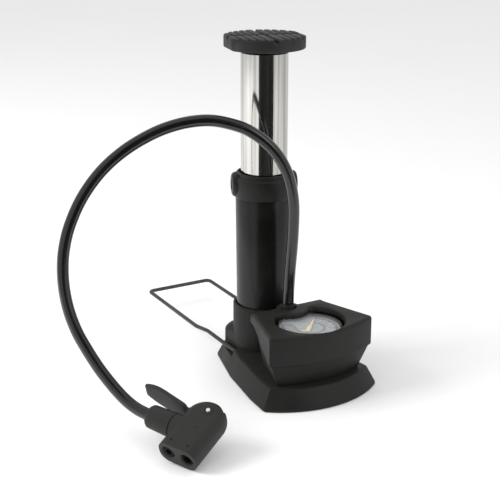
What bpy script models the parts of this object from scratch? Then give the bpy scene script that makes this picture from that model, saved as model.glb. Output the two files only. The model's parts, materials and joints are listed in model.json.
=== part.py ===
"""A mini floor pump for bicycle tyres, worked by foot, as an assembly of separate pieces.

A chromed cylinder slides over a fixed hollow piston rod inside a black barrel, and a spring lifts
it back. The air leaves through the rod, past a ball valve and a manifold in the base, to a dial
gauge and a hose with a two-hole valve head. A wire bail folds up at the back.

Sizes are in millimetres, and the helpers turn them into Blender's metres. The origin is where the
barrel's axis meets the floor, +Z is up and +X points to the gauge.
"""
import math

import bmesh
import bpy
from mathutils import Matrix, Vector

MM = 0.001
FIT = 0.3                     # gap kept between pieces that touch

# Plunger: the chromed cylinder and its pedal
TUBE_R = 15.0
TUBE_BORE_R = 13.8
TUBE_BOTTOM_Z = 113.3
TUBE_TOP_Z = 207.0
PEDAL_R = 25.8
PEDAL_FLAT = 23.7
PEDAL_TOP_Z = 217.5
PEDAL_LOW_Z = 209.2
PEDAL_TURN = math.radians(-14.4)

# Barrel and collar
BARREL_BORE_R = 16.4
BARREL_LOW_R = 17.6
BARREL_TOP_R = 18.5
BARREL_LOW_Z = 14.3
BARREL_TOP_Z = 125.0
COLLAR_R = 19.8
EAR_Z = 122.6
EAR_R = 8.2
EAR_REACH = 21.2
EAR_TURN = math.radians(-22.4)

# Base
COLUMN_R = 20.2
COLUMN_TOP_Z = 42.0
COLUMN_FLOOR_Z = 14.0
SHELF_Z = 13.0
SHELF_UNDER_Z = 10.5
FOOT_SLOPE = 6.2
COVER_TOP_Z = 47.5
COVER_LOW_Z = 28.5
COVER_WALL = 2.2
SOCKET_X = 30.7
GAUGE_X = 56.0
GAUGE_R = 20.4
OPENING_R = 21.8

# Rod, piston and spring
ROD_R = 4.75
ROD_BORE_R = 2.0
ROD_LOW_Z = 7.6
SHOULDER_Z = 114.0
SPRING_R = 10.6
SPRING_WIRE_R = 0.8
SPRING_TURNS = 9.0

# Bail
BAIL_PIVOT = Vector((1.5, 0.0, 10.5))
BAIL_WIRE_R = 1.35
BAIL_LEG_Y = 22.3
BAIL_WIDE_Y = 25.3
BAIL_REACH_X = -124.3
BAIL_BAR_Z = 13.8

# Hose and valve head
HOSE_R = 3.6
HEAD_AT = Vector((94.4, -93.0, 19.3))
HEAD_TO_HOSE = Vector((-0.8844, -0.4552, 0.1030))
HEAD_TO_HOLES = Vector((0.3905, -0.8426, -0.3708))
HEAD_HALF_W = 12.5
HEAD_HALF_T = 7.3
HEAD_END = 31.0
HOLE_SPACING = 12.4
NECK_V = 13.2
NECK_R = 7.5
NECK_SEAM = 14.2
NECK_END = 32.0
PIN_H = -1.0

for leftover in list(bpy.data.objects):
    bpy.data.objects.remove(leftover)

PARTS = bpy.data.collections.new("foot_pump")
CUTTERS = bpy.data.collections.new("foot_pump_cutters")
bpy.context.scene.collection.children.link(PARTS)
bpy.context.scene.collection.children.link(CUTTERS)


# ---------------------------------------------------------------- materials
def material(name, colour, roughness, metallic=0.0, alpha=1.0):
    made = bpy.data.materials.new(name)
    made.use_nodes = True
    shader = made.node_tree.nodes["Principled BSDF"]
    shader.inputs["Base Color"].default_value = (*colour, 1.0)
    shader.inputs["Roughness"].default_value = roughness
    shader.inputs["Metallic"].default_value = metallic
    shader.inputs["Alpha"].default_value = alpha
    made.diffuse_color = (*colour, alpha)
    return made


BLACK_PLASTIC = material("black_plastic", (0.035, 0.035, 0.033), 0.55)
BARREL_BLACK = material("barrel_black", (0.015, 0.015, 0.014), 0.28)
RUBBER = material("black_rubber", (0.045, 0.045, 0.043), 0.75)
HOSE_BLACK = material("hose_black", (0.01, 0.01, 0.011), 0.2)
CHROME = material("chrome", (0.80, 0.79, 0.76), 0.12, 1.0)
STEEL = material("steel", (0.55, 0.55, 0.54), 0.35, 1.0)
DARK_STEEL = material("dark_steel", (0.07, 0.07, 0.068), 0.4, 0.6)
BRASS = material("brass", (0.71, 0.55, 0.28), 0.35, 1.0)
NYLON = material("nylon", (0.75, 0.74, 0.70), 0.5)
DIAL_WHITE = material("dial_white", (0.74, 0.75, 0.76), 0.5)
POINTER_CREAM = material("pointer_cream", (0.85, 0.74, 0.45), 0.45)
CLEAR = material("clear_lens", (0.95, 0.96, 0.97), 0.05, 0.0, 0.3)


# ---------------------------------------------------------------- helpers
def add_object(name, mesh, finish, collection=PARTS):
    """Link a mesh as a named object with one material."""
    mesh.materials.clear()
    if finish:
        mesh.materials.append(finish)
    made = bpy.data.objects.new(name, mesh)
    collection.objects.link(made)
    if collection is CUTTERS:
        made.hide_render = True
        made.display_type = "WIRE"
    return made


def smooth(made, angle=35.0):
    made.data.shade_smooth()
    made.data.set_sharp_from_angle(angle=math.radians(angle))
    return made


def turned(name, profile, finish, at=(0, 0, 0), steps=32, frame=None, collection=PARTS):
    """A turned solid. The (radius, height) profile runs down the outer side, top to bottom, and a
    profile that leaves the axis returns up its inner side and closes on itself."""
    mesh = bpy.data.meshes.new(name)
    points = [(r * MM, 0.0, z * MM) for r, z in profile]
    edges = [(i, i + 1) for i in range(len(points) - 1)]
    if profile[0][0] > 0:
        edges.append((len(points) - 1, 0))
    mesh.from_pydata(points, edges, [])
    made = add_object(name, mesh, finish, collection)
    screw = made.modifiers.new("turn", "SCREW")
    screw.steps = steps
    screw.render_steps = steps
    screw.use_merge_vertices = True
    screw.merge_threshold = 0.000001
    screw.use_smooth_shade = False
    stand(made, at, frame)
    return made


def stand(made, at, frame=None):
    """Put an object at a point in millimetres, turned by an optional frame."""
    matrix = Matrix.Translation(Vector(at) * MM)
    if frame is not None:
        matrix = matrix @ frame
    made.matrix_world = matrix


def loft(name, sections, finish, frame=None, at=(0, 0, 0), collection=PARTS):
    """A closed solid through sections that each list the same number of (x, y, z) points."""
    shape = bmesh.new()
    rings = [[shape.verts.new(Vector(p) * MM) for p in section] for section in sections]
    count = len(rings[0])
    for low, high in zip(rings, rings[1:]):
        for i in range(count):
            j = (i + 1) % count
            shape.faces.new((low[i], low[j], high[j], high[i]))
    shape.faces.new(list(reversed(rings[0])))
    shape.faces.new(rings[-1])
    bmesh.ops.recalc_face_normals(shape, faces=shape.faces)
    mesh = bpy.data.meshes.new(name)
    shape.to_mesh(mesh)
    shape.free()
    made = add_object(name, mesh, finish, collection)
    stand(made, at, frame)
    return made


def box(name, low, high, finish, frame=None, at=(0, 0, 0), collection=PARTS):
    """A box between two corners."""
    shape = bmesh.new()
    size = Vector(high) - Vector(low)
    middle = (Vector(high) + Vector(low)) / 2
    matrix = Matrix.Translation(middle * MM) @ Matrix.Diagonal((*(size * MM), 1.0))
    bmesh.ops.create_cube(shape, size=1.0, matrix=matrix)
    mesh = bpy.data.meshes.new(name)
    shape.to_mesh(mesh)
    shape.free()
    made = add_object(name, mesh, finish, collection)
    stand(made, at, frame)
    return made


def along(direction):
    """A rotation that turns +Z to a direction."""
    return Vector(direction).to_track_quat("Z", "Y").to_matrix().to_4x4()


def rod(name, start, end, radius, finish, steps=16, top_radius=None, frame=None, collection=PARTS):
    """A cylinder or cone between two points, optionally in a local frame."""
    start = Vector(start)
    end = Vector(end)
    if frame is not None:
        start = (frame @ (start * MM)) / MM
        end = (frame @ (end * MM)) / MM
    length = (end - start).length
    top = radius if top_radius is None else top_radius
    profile = [(0, length), (top, length), (radius, 0), (0, 0)]
    return turned(name, profile, finish, start, steps, along(end - start), collection)


def boolean(made, other, operation):
    step = made.modifiers.new(operation.lower(), "BOOLEAN")
    step.operation = operation
    step.solver = "EXACT"
    step.object = other


def cut(made, *cutters):
    for cutter in cutters:
        boolean(made, cutter, "DIFFERENCE")


def join(made, *others):
    for other in others:
        boolean(made, other, "UNION")


def at_height(outline, z):
    """Lift a flat outline to a height, or to the height that a function of x gives."""
    if callable(z):
        return [(x, y, z(x)) for x, y in outline]
    return [(x, y, z) for x, y in outline]


def inset(outline, distance):
    """Move each point of a counter-clockwise outline inward, keeping its sides parallel."""
    moved = []
    count = len(outline)
    for i in range(count):
        here = Vector(outline[i])
        before = (here - Vector(outline[i - 1])).normalized()
        after = (Vector(outline[(i + 1) % count]) - here).normalized()
        normal_a = Vector((-before.y, before.x))
        normal_b = Vector((-after.y, after.x))
        bisector = (normal_a + normal_b).normalized()
        reach = distance / max(0.35, bisector.dot(normal_a))
        moved.append(tuple(here + bisector * reach))
    return moved


def rounded(corners, steps=4):
    """A counter-clockwise outline from (x, y, radius) corners, with an arc at each radius."""
    outline = []
    count = len(corners)
    for i in range(count):
        here = Vector(corners[i][:2])
        radius = corners[i][2]
        back = (Vector(corners[i - 1][:2]) - here).normalized()
        ahead = (Vector(corners[(i + 1) % count][:2]) - here).normalized()
        half = math.acos(max(-1.0, min(1.0, back.dot(ahead)))) / 2
        if radius == 0 or half > math.radians(89):
            outline.append(tuple(here))
            continue
        run = radius / math.tan(half)
        centre = here + (back + ahead).normalized() * (radius / math.sin(half))
        start = here + back * run - centre
        turn = start.angle_signed(here + ahead * run - centre)
        for k in range(steps + 1):
            outline.append(tuple(centre + rotate_2d(start, -turn * k / steps)))
    return outline


def outline_of(corners, distance=0.0):
    """An outline from (x, y, radius) corners, moved inward before its corners are rounded."""
    moved = inset([corner[:2] for corner in corners], distance)
    return rounded([
        (x, y, max(corner[2] - distance, 0.4) if corner[2] else 0)
        for (x, y), corner in zip(moved, corners)
    ])


def rotate_2d(vector, angle):
    c = math.cos(angle)
    s = math.sin(angle)
    return Vector((c * vector.x - s * vector.y, s * vector.x + c * vector.y))


def prism(name, outline, low_z, high_z, finish, collection=PARTS, frame=None, at=(0, 0, 0)):
    """A flat outline with upright sides."""
    sections = [at_height(outline, low_z), at_height(outline, high_z)]
    return loft(name, sections, finish, frame, at, collection)


def wire(name, points, radius, finish, sides=2):
    """A round wire along points in millimetres, as a closed mesh."""
    curve = bpy.data.curves.new(name + "_path", "CURVE")
    curve.dimensions = "3D"
    curve.bevel_depth = radius * MM
    curve.bevel_resolution = sides
    curve.use_fill_caps = True
    spline = curve.splines.new("POLY")
    spline.points.add(len(points) - 1)
    for slot, point in zip(spline.points, points):
        slot.co = (*(Vector(point) * MM), 1.0)
    guide = bpy.data.objects.new(name + "_path", curve)
    PARTS.objects.link(guide)
    bpy.context.view_layer.update()
    evaluated = guide.evaluated_get(bpy.context.evaluated_depsgraph_get())
    mesh = bpy.data.meshes.new_from_object(evaluated)
    shape = bmesh.new()
    shape.from_mesh(mesh)
    bmesh.ops.remove_doubles(shape, verts=shape.verts, dist=0.000001)
    bmesh.ops.recalc_face_normals(shape, faces=shape.faces)
    shape.to_mesh(mesh)
    shape.free()
    mesh.name = name
    made = add_object(name, mesh, finish)
    made.matrix_world = guide.matrix_world
    bpy.data.objects.remove(guide)
    return smooth(made, 50.0)


def coil(radius, low_z, high_z, turns, per_turn=12, centre=(0, 0), closed_turns=0.75):
    """Points of a compression spring whose end turns lie nearly flat."""
    points = []
    total = round(turns * per_turn)
    for k in range(total + 1):
        turn = k / per_turn
        along_it = min(max((turn - closed_turns) / (turns - 2 * closed_turns), 0.0), 1.0)
        angle = 2 * math.pi * turn
        x = centre[0] + radius * math.cos(angle)
        y = centre[1] + radius * math.sin(angle)
        points.append((x, y, low_z + (high_z - low_z) * along_it))
    return points


def smooth_route(points, count):
    """Evenly spaced points on a smooth curve through a route's own points."""
    knots = [Vector(p) for p in points]
    knots = [knots[0] * 2 - knots[1]] + knots + [knots[-1] * 2 - knots[-2]]
    dense = []
    fine = 12
    for i in range(1, len(knots) - 2):
        a, b, c, d = knots[i - 1:i + 3]
        for k in range(fine):
            t = k / fine
            dense.append(0.5 * (2 * b + (c - a) * t + (2 * a - 5 * b + 4 * c - d) * t * t
                                + (3 * b - a - 3 * c + d) * t * t * t))
    dense.append(knots[-2])
    reach = [0.0]
    for p, q in zip(dense, dense[1:]):
        reach.append(reach[-1] + (q - p).length)
    even = []
    j = 0
    for k in range(count):
        goal = reach[-1] * k / (count - 1)
        while j < len(reach) - 2 and reach[j + 1] < goal:
            j += 1
        share = (goal - reach[j]) / (reach[j + 1] - reach[j])
        even.append(dense[j].lerp(dense[j + 1], share))
    return even


def mirror_y(point):
    return (point[0], -point[1], *point[2:])


# ---------------------------------------------------------------- outlines of the base
class Plan:
    """A plan outline, symmetric about X: a straight back, a side of corners on -Y and a front arc.

    Each corner is (x, y, radius). The last one is where the side meets the arc."""

    def __init__(self, side, centre_x, radius, steps=10):
        self.side = side
        self.centre_x = centre_x
        self.radius = radius
        self.steps = steps

    def outline(self, distance=0.0, least_x=-1000.0):
        """The outline moved inward by a distance, with nothing behind least_x."""
        corners = [Vector(corner[:2]) for corner in self.side]
        lines = []
        for start, end in zip(corners, corners[1:]):
            way = (end - start).normalized()
            lines.append((start + Vector((-way.y, way.x)) * distance, way))
        moved = [on_line_at_x(lines[0], corners[0].x + distance)]
        moved += [lines_meet(before, after) for before, after in zip(lines, lines[1:])]
        moved.append(line_meets_circle(lines[-1], self.centre_x, self.radius - distance))
        side = [
            (max(point.x, least_x), point.y, max(corner[2] - distance, 0.3) if corner[2] else 0)
            for point, corner in zip(moved, self.side)
        ]
        half = math.asin(-moved[-1].y / (self.radius - distance))
        front = []
        for k in range(1, self.steps):
            a = half * (2 * k / self.steps - 1)
            front.append((self.centre_x + (self.radius - distance) * math.cos(a),
                          (self.radius - distance) * math.sin(a), 0))
        return rounded(side + front + [(x, -y, r) for x, y, r in reversed(side)])


def on_line_at_x(line, x):
    point, way = line
    return point + way * ((x - point.x) / way.x)


def lines_meet(first, second):
    (p, u), (q, v) = first, second
    return p + u * ((q - p).cross(v) / u.cross(v))


def line_meets_circle(line, centre_x, radius):
    point, way = line
    from_centre = point - Vector((centre_x, 0))
    half = from_centre.dot(way)
    run = -half + math.sqrt(half * half - from_centre.length_squared + radius * radius)
    return point + way * run


FOOT = Plan([(-25.5, -12.0, 8), (-22.5, -23.5, 4), (15.0, -34.4, 0), (51.0, -40.5, 0),
             (70.4, -42.0, 3)], 19.5, 66.0)
BODY = Plan([(10.0, -15.0, 0), (31.6, -26.6, 0), (70.1, -38.0, 2)], -3.7, 83.0)
COVER = Plan([(28.0, -26.6, 0), (33.0, -27.0, 0), (70.1, -38.0, 2)], -3.7, 83.0)
CAVITY = Plan([(-16.0, -13.5, 0), (8.0, -13.5, 0), (14.0, -26.0, 0), (65.6, -33.5, 0)], 19.5,
              57.0, 8)
HUMP = [(-23.5, -20.1, 9), (0.0, -20.1, 0), (0.0, 20.1, 0), (-23.5, 20.1, 9)]
WELL_BACK_X = 31.0
PLATE_T = 3.0
PLATE_SCREWS = [(-11.0, -9.5), (-11.0, 9.5)]
LONG_SCREWS = [(63.0, -25.0), (63.0, 25.0)]
POST_R = 3.2
SEAM_SLOPE_END_X = 66.0
SEAM_SLOPE = 0.347


def seam_z(x):
    """Height of the cover's lower edge, which climbs towards the column."""
    return COVER_LOW_Z + max(0.0, SEAM_SLOPE_END_X - max(x, 26.0)) * SEAM_SLOPE


def well_outline(distance):
    return BODY.outline(distance, WELL_BACK_X)


# ---------------------------------------------------------------- base
def build_base_housing():
    """Foot skirt, tapered body, hump and column in one moulding, hollow from below."""
    housing = loft("base_housing", [
        at_height(FOOT.outline(), 0.0),
        at_height(FOOT.outline(), 1.4),
        at_height(FOOT.outline(FOOT_SLOPE - 0.7), SHELF_Z - 0.8),
        at_height(FOOT.outline(FOOT_SLOPE), SHELF_Z),
    ], BLACK_PLASTIC)
    body = loft("body_block", [
        at_height(BODY.outline(7.0), SHELF_Z - 1.0),
        at_height(BODY.outline(1.4), lambda x: seam_z(x) - FIT),
    ], None, collection=CUTTERS)
    column = turned("column_block", [
        (0, COLUMN_TOP_Z), (COLUMN_R - 0.6, COLUMN_TOP_Z), (COLUMN_R, COLUMN_TOP_Z - 0.6),
        (COLUMN_R, SHELF_Z - 1.2), (0, SHELF_Z - 1.2),
    ], None, steps=40, collection=CUTTERS)
    hump = loft("hump_block", [
        at_height(outline_of(HUMP), SHELF_Z - 0.9),
        at_height(outline_of(HUMP), 19.6),
        at_height(outline_of(HUMP, 1.2), 21.2),
        at_height(outline_of(HUMP, 3.6), 24.0),
    ], None, collection=CUTTERS)
    join(housing, body, hump, column)
    recess = prism("plate_recess", FOOT.outline(3.6), -1.0, PLATE_T + FIT, None, CUTTERS)
    cavity = prism("foot_cavity", CAVITY.outline(), 1.0, SHELF_UNDER_Z, None, CUTTERS)
    well = loft("gauge_well", [
        at_height(well_outline(9.5), SHELF_UNDER_Z - 2.0),
        at_height(well_outline(9.5), SHELF_Z - 1.0),
        at_height(well_outline(3.9), seam_z),
        at_height(well_outline(3.9), 52.0),
    ], None, collection=CUTTERS)
    socket = rod("barrel_socket", (0, 0, COLUMN_FLOOR_Z), (0, 0, 45), 18.15, None, 40,
                 collection=CUTTERS)
    rod_hole = rod("rod_hole", (0, 0, 5), (0, 0, 20), ROD_R + FIT, None, 20, collection=CUTTERS)
    hose_way = rod("hose_way", (SOCKET_X, 0, 8), (SOCKET_X, 0, 52), 5.0, None, 20,
                   collection=CUTTERS)
    cut(housing, recess, cavity, well, socket, rod_hole, hose_way)
    for i, (x, y) in enumerate(LONG_SCREWS):
        post = rod(f"long_post_{i}", (x, y, PLATE_T + FIT), (x, y, 30.6), POST_R, None, 10,
                   collection=CUTTERS)
        bore = rod(f"long_bore_{i}", (x, y, 1), (x, y, 33), 1.7, None, 8, collection=CUTTERS)
        join(housing, post)
        cut(housing, bore)
    for i, (x, y) in enumerate(PLATE_SCREWS):
        post = rod(f"short_post_{i}", (x, y, PLATE_T + FIT), (x, y, 11.6), POST_R, None, 10,
                   collection=CUTTERS)
        bore = rod(f"short_bore_{i}", (x, y, 1), (x, y, 10.4), 1.6, None, 8, collection=CUTTERS)
        join(housing, post)
        cut(housing, bore)
    for side in (-1, 1):
        channel = box(f"bail_channel_{side}", (-40, min(side * 20.62, side * 40), 8.75),
                      (4.4, max(side * 20.62, side * 40), 30), None, collection=CUTTERS)
        pivot = rod(f"bail_pivot_{side}", (BAIL_PIVOT.x, side * 16.7, BAIL_PIVOT.z),
                    (BAIL_PIVOT.x, side * 22.0, BAIL_PIVOT.z), BAIL_WIRE_R + FIT, None, 12,
                    collection=CUTTERS)
        cut(housing, channel, pivot)


def build_base_plate():
    plate = prism("base_plate", FOOT.outline(4.0), 0.0, PLATE_T, DARK_STEEL)
    for i, (x, y) in enumerate(PLATE_SCREWS + LONG_SCREWS):
        head = rod(f"plate_head_{i}", (x, y, -1), (x, y, 1.9), 3.1, None, 12, collection=CUTTERS)
        shank = rod(f"plate_shank_{i}", (x, y, 1), (x, y, 5), 1.7, None, 8, collection=CUTTERS)
        cut(plate, head, shank)


def build_base_screws():
    """Two short and two long screws, driven from below."""
    places = [(9.6, at) for at in PLATE_SCREWS] + [(39.0, at) for at in LONG_SCREWS]
    for i, (top, (x, y)) in enumerate(places, 1):
        turned(f"base_screw_{i}", [
            (0, top), (0.9, top), (1.35, top - 0.9), (1.35, 1.6), (2.7, 1.6), (2.7, 0.4),
            (1.0, 0.4), (1.0, 0.9), (0, 0.9),
        ], STEEL, (x, y, 0), 8)


def build_gauge_cover():
    """Cover around the gauge, with a boss around the hose's ferrule."""
    lip = 1.6
    cover = loft("gauge_cover", [
        at_height(COVER.outline(), seam_z),
        at_height(COVER.outline(), COVER_TOP_Z - lip),
        at_height(COVER.outline(0.45), COVER_TOP_Z - 0.5),
        at_height(COVER.outline(lip), COVER_TOP_Z),
    ], BLACK_PLASTIC)
    inside = loft("cover_inside", [
        at_height(COVER.outline(COVER_WALL), lambda x: seam_z(x) - 2.0),
        at_height(COVER.outline(COVER_WALL), COVER_TOP_Z - 3.0),
    ], None, collection=CUTTERS)
    boss = rod("socket_boss", (SOCKET_X, 0, 42.4), (SOCKET_X, 0, 47.4), 8.0, None, 28,
               collection=CUTTERS)
    case_gap = rod("case_gap", (GAUGE_X, 0, 30), (GAUGE_X, 0, 44.45), GAUGE_R + FIT, None, 32,
                   collection=CUTTERS)
    flange_hole = rod("flange_hole", (SOCKET_X, 0, 40), (SOCKET_X, 0, 44.4), 4.9, None, 20,
                      collection=CUTTERS)
    cut(cover, inside)
    join(cover, boss)
    cut(cover, case_gap, flange_hole)
    opening = prism("gauge_opening", gauge_opening(), 40.0, 50.0, None, CUTTERS)
    hose_hole = rod("hose_hole", (SOCKET_X, 0, 40), (SOCKET_X, 0, 50), 4.3, None, 20,
                    collection=CUTTERS)
    cut(cover, opening, hose_hole)
    for i, (x, y) in enumerate(LONG_SCREWS):
        post = rod(f"cover_post_{i}", (x, y, 32.7), (x, y, 45.0), 2.9, None, 14,
                   collection=CUTTERS)
        bore = rod(f"cover_bore_{i}", (x, y, 30.0), (x, y, 40.0), 1.65, None, 10,
                   collection=CUTTERS)
        join(cover, post)
        cut(cover, bore)


def gauge_opening():
    """The dial's circle with a rounded bay where the cover bulges around the hose socket."""
    bulge_r = 13.2
    gap = GAUGE_X - SOCKET_X
    meet_x = (gap * gap + bulge_r ** 2 - OPENING_R ** 2) / (2 * gap)
    meet_y = math.sqrt(bulge_r ** 2 - meet_x ** 2)
    cusp = math.pi - math.atan2(meet_y, gap - meet_x)
    bulge = math.atan2(meet_y, meet_x)
    blend = 0.16
    outline = []
    steps = 26
    for k in range(steps + 1):
        a = -(cusp - blend) + 2 * (cusp - blend) * k / steps
        outline.append((GAUGE_X + OPENING_R * math.cos(a), OPENING_R * math.sin(a)))
    inner = 8
    for k in range(inner + 1):
        a = (bulge - blend) * (1 - 2 * k / inner)
        outline.append((SOCKET_X + bulge_r * math.cos(a), bulge_r * math.sin(a)))
    return outline


# ---------------------------------------------------------------- barrel and collar
def at_ear(side, reach):
    """A point on the axis of one ear, at a distance from the barrel's axis."""
    x = -side * math.sin(EAR_TURN)
    y = side * math.cos(EAR_TURN)
    return Vector((x * reach, y * reach, EAR_Z))


def ear_axis(side):
    return along(at_ear(side, 1.0) - at_ear(side, 0.0))


def build_barrel():
    barrel = turned("barrel", [
        (BARREL_TOP_R, BARREL_TOP_Z), (BARREL_LOW_R, BARREL_LOW_Z),
        (BARREL_BORE_R, BARREL_LOW_Z), (BARREL_BORE_R, BARREL_TOP_Z),
    ], BARREL_BLACK, steps=32)
    for side in (-1, 1):
        hole = rod(f"barrel_hole_{side}", at_ear(side, 15.5), at_ear(side, 20.0), 1.65, None, 10,
                   collection=CUTTERS)
        cut(barrel, hole)


def build_collar():
    """Collar that clips over the barrel, with a round ear on each side for its screw."""
    collar = turned("barrel_collar", [
        (17.5, 130.5), (17.9, 130.1), (17.9, 128.9), (19.3, 127.4), (COLLAR_R, 126.6),
        (COLLAR_R, 115.4), (19.3, 115.0), (18.9, 115.0), (18.9, 126.7), (16.4, 126.7),
        (16.4, 130.5),
    ], BLACK_PLASTIC, steps=32)
    core = rod("collar_core", (0, 0, 110), (0, 0, 126.9), 19.35, None, 32, collection=CUTTERS)
    lip_core = rod("collar_lip_core", (0, 0, 126), (0, 0, 135), 17.1, None, 32,
                   collection=CUTTERS)
    for side in (-1, 1):
        face = ear_axis(side)
        ear = turned(f"ear_{side}", [
            (0, EAR_REACH), (5.0, EAR_REACH), (7.0, EAR_REACH - 0.9),
            (EAR_R, EAR_REACH - 3.2), (EAR_R, 12.0), (0, 12.0),
        ], None, (0, 0, EAR_Z), 16, face, CUTTERS)
        cut(ear, core, lip_core)
        recess = turned(f"ear_recess_{side}", [
            (0, 26.0), (3.2, 26.0), (3.2, 19.6), (1.65, 19.6), (1.65, 15.0), (0, 15.0),
        ], None, (0, 0, EAR_Z), 10, face, CUTTERS)
        join(collar, ear)
        cut(collar, recess)


def build_collar_screws():
    for i, side in enumerate((-1, 1), 1):
        turned(f"collar_screw_{i}", [
            (0, 20.3), (1.1, 20.3), (1.1, 21.0), (2.7, 21.0), (2.7, 19.9), (1.3, 19.9),
            (1.3, 16.8), (0, 16.8),
        ], DARK_STEEL, (0, 0, EAR_Z), 10, ear_axis(side))


def build_guides():
    turned("guide_bush", [
        (18.3, 126.4), (18.3, 125.3), (16.1, 125.3), (16.1, 118.3), (15.25, 118.3),
        (15.25, 126.4),
    ], NYLON, steps=28)
    turned("wiper_ring", [
        (15.3, 130.2), (16.1, 129.4), (16.1, 127.0), (15.3, 127.0),
    ], RUBBER, steps=32)


# ---------------------------------------------------------------- rod, piston, spring, valve
def build_rod_and_piston():
    turned("piston_rod", [
        (3.4, 124.2), (3.4, SHOULDER_Z), (ROD_R, SHOULDER_Z), (ROD_R, 17.0), (7.6, 17.0),
        (7.6, COLUMN_FLOOR_Z + FIT), (ROD_R, COLUMN_FLOOR_Z + FIT), (ROD_R, ROD_LOW_Z),
        (3.2, ROD_LOW_Z), (3.2, 12.2), (ROD_BORE_R, 13.4), (ROD_BORE_R, 124.2),
    ], STEEL, steps=18)
    turned("piston", [
        (13.2, 118.2), (13.2, 114.6), (12.6, SHOULDER_Z + FIT), (3.7, SHOULDER_Z + FIT),
        (3.7, 118.2),
    ], NYLON, steps=20)
    turned("piston_cup", [
        (13.5, 122.6), (13.3, 118.5), (3.7, 118.5), (3.7, 119.8), (11.4, 119.8), (12.4, 122.6),
    ], RUBBER, steps=22)
    turned("piston_nut", [
        (6.6, 122.6), (6.6, 120.1), (4.4, 120.1), (4.4, 122.6),
    ], STEEL, steps=6)
    wire("return_spring", coil(SPRING_R, 15.2, 109.6, SPRING_TURNS, 9), SPRING_WIRE_R, STEEL, 1)


def build_check_valve():
    """Ball that a small spring lifts against the cone in the rod's foot."""
    ball = bmesh.new()
    bmesh.ops.create_uvsphere(ball, u_segments=12, v_segments=8, radius=2.4 * MM)
    mesh = bpy.data.meshes.new("check_ball")
    ball.to_mesh(mesh)
    ball.free()
    made = add_object("check_ball", mesh, STEEL)
    stand(made, (0, 0, 11.75))
    smooth(made)
    points = coil(2.2, 5.3, 8.85, 4.0, 6)
    wire("check_spring", points, 0.25, STEEL, 1)


def build_manifold():
    """Block under the column that leads the air from the rod to the hose and the gauge."""
    manifold = rod("air_manifold", (0, 0, 3.6), (0, 0, 10.2), 8.6, NYLON, 20)
    arm = box("manifold_arm", (2, -4, 3.6), (62, 4, 9), None, collection=CUTTERS)
    hose_riser = rod("hose_riser", (SOCKET_X, 0, 5), (SOCKET_X, 0, 14), 4.6, None, 14,
                     collection=CUTTERS)
    gauge_riser = rod("gauge_riser", (GAUGE_X, 0, 5), (GAUGE_X, 0, 14), 4.6, None, 14,
                      collection=CUTTERS)
    join(manifold, arm, hose_riser, gauge_riser)
    chamber = rod("rod_seat", (0, 0, 4.9), (0, 0, 12), ROD_R + FIT, None, 18,
                  collection=CUTTERS)
    channel = rod("air_channel", (1, 0, 6.2), (GAUGE_X, 0, 6.2), 1.2, None, 10,
                  collection=CUTTERS)
    hose_port = rod("hose_port", (SOCKET_X, 0, 6), (SOCKET_X, 0, 16), 2.3, None, 12,
                    collection=CUTTERS)
    gauge_port = rod("gauge_port", (GAUGE_X, 0, 6), (GAUGE_X, 0, 16), 2.3, None, 12,
                     collection=CUTTERS)
    cut(manifold, chamber, channel, hose_port, gauge_port)


def build_hose_fittings():
    """Barb that rises from the manifold into the ferrule around the hose's end."""
    turned("hose_barb", [
        (1.5, 49.6), (2.1, 48.6), (1.7, 48.4), (2.1, 47.0), (1.7, 46.8), (1.7, 43.6),
        (2.4, 43.6), (2.4, 16.4), (4.0, 16.4), (4.0, 14.3), (2.0, 14.3), (2.0, 8.4),
        (1.0, 8.4), (1.0, 49.6),
    ], BRASS, (SOCKET_X, 0, 0), 10)
    turned("hose_ferrule", [
        (3.7, 50.0), (4.0, 49.6), (4.0, 44.1), (4.6, 44.1), (4.6, 43.0), (2.7, 43.0),
        (2.7, 50.0),
    ], BLACK_PLASTIC, (SOCKET_X, 0, 0), 16)


# ---------------------------------------------------------------- gauge
SECTOR_PIVOT = (GAUGE_X - 8.6, 0.0)
PINION_TEETH = 8
SECTOR_TEETH = 48
TOOTH_MODULE = 0.3
GEAR_Z = (34.6, 35.8)
POINTER_ANGLE = math.radians(-45.0)


def gear_outline(teeth, first, last, centre, phase):
    """Straight-sided teeth with generous clearance, from one tooth to another."""
    pitch = 2 * math.pi / teeth
    tip = TOOTH_MODULE * (teeth / 2 + 0.75)
    root = TOOTH_MODULE * (teeth / 2 - 1.15)
    outline = []
    for k in range(first, last):
        middle = phase + pitch * k
        for share, radius in ((-0.27, root), (-0.09, tip), (0.09, tip), (0.27, root)):
            angle = middle + pitch * share
            outline.append((centre[0] + radius * math.cos(angle),
                            centre[1] + radius * math.sin(angle)))
    return outline


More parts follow.
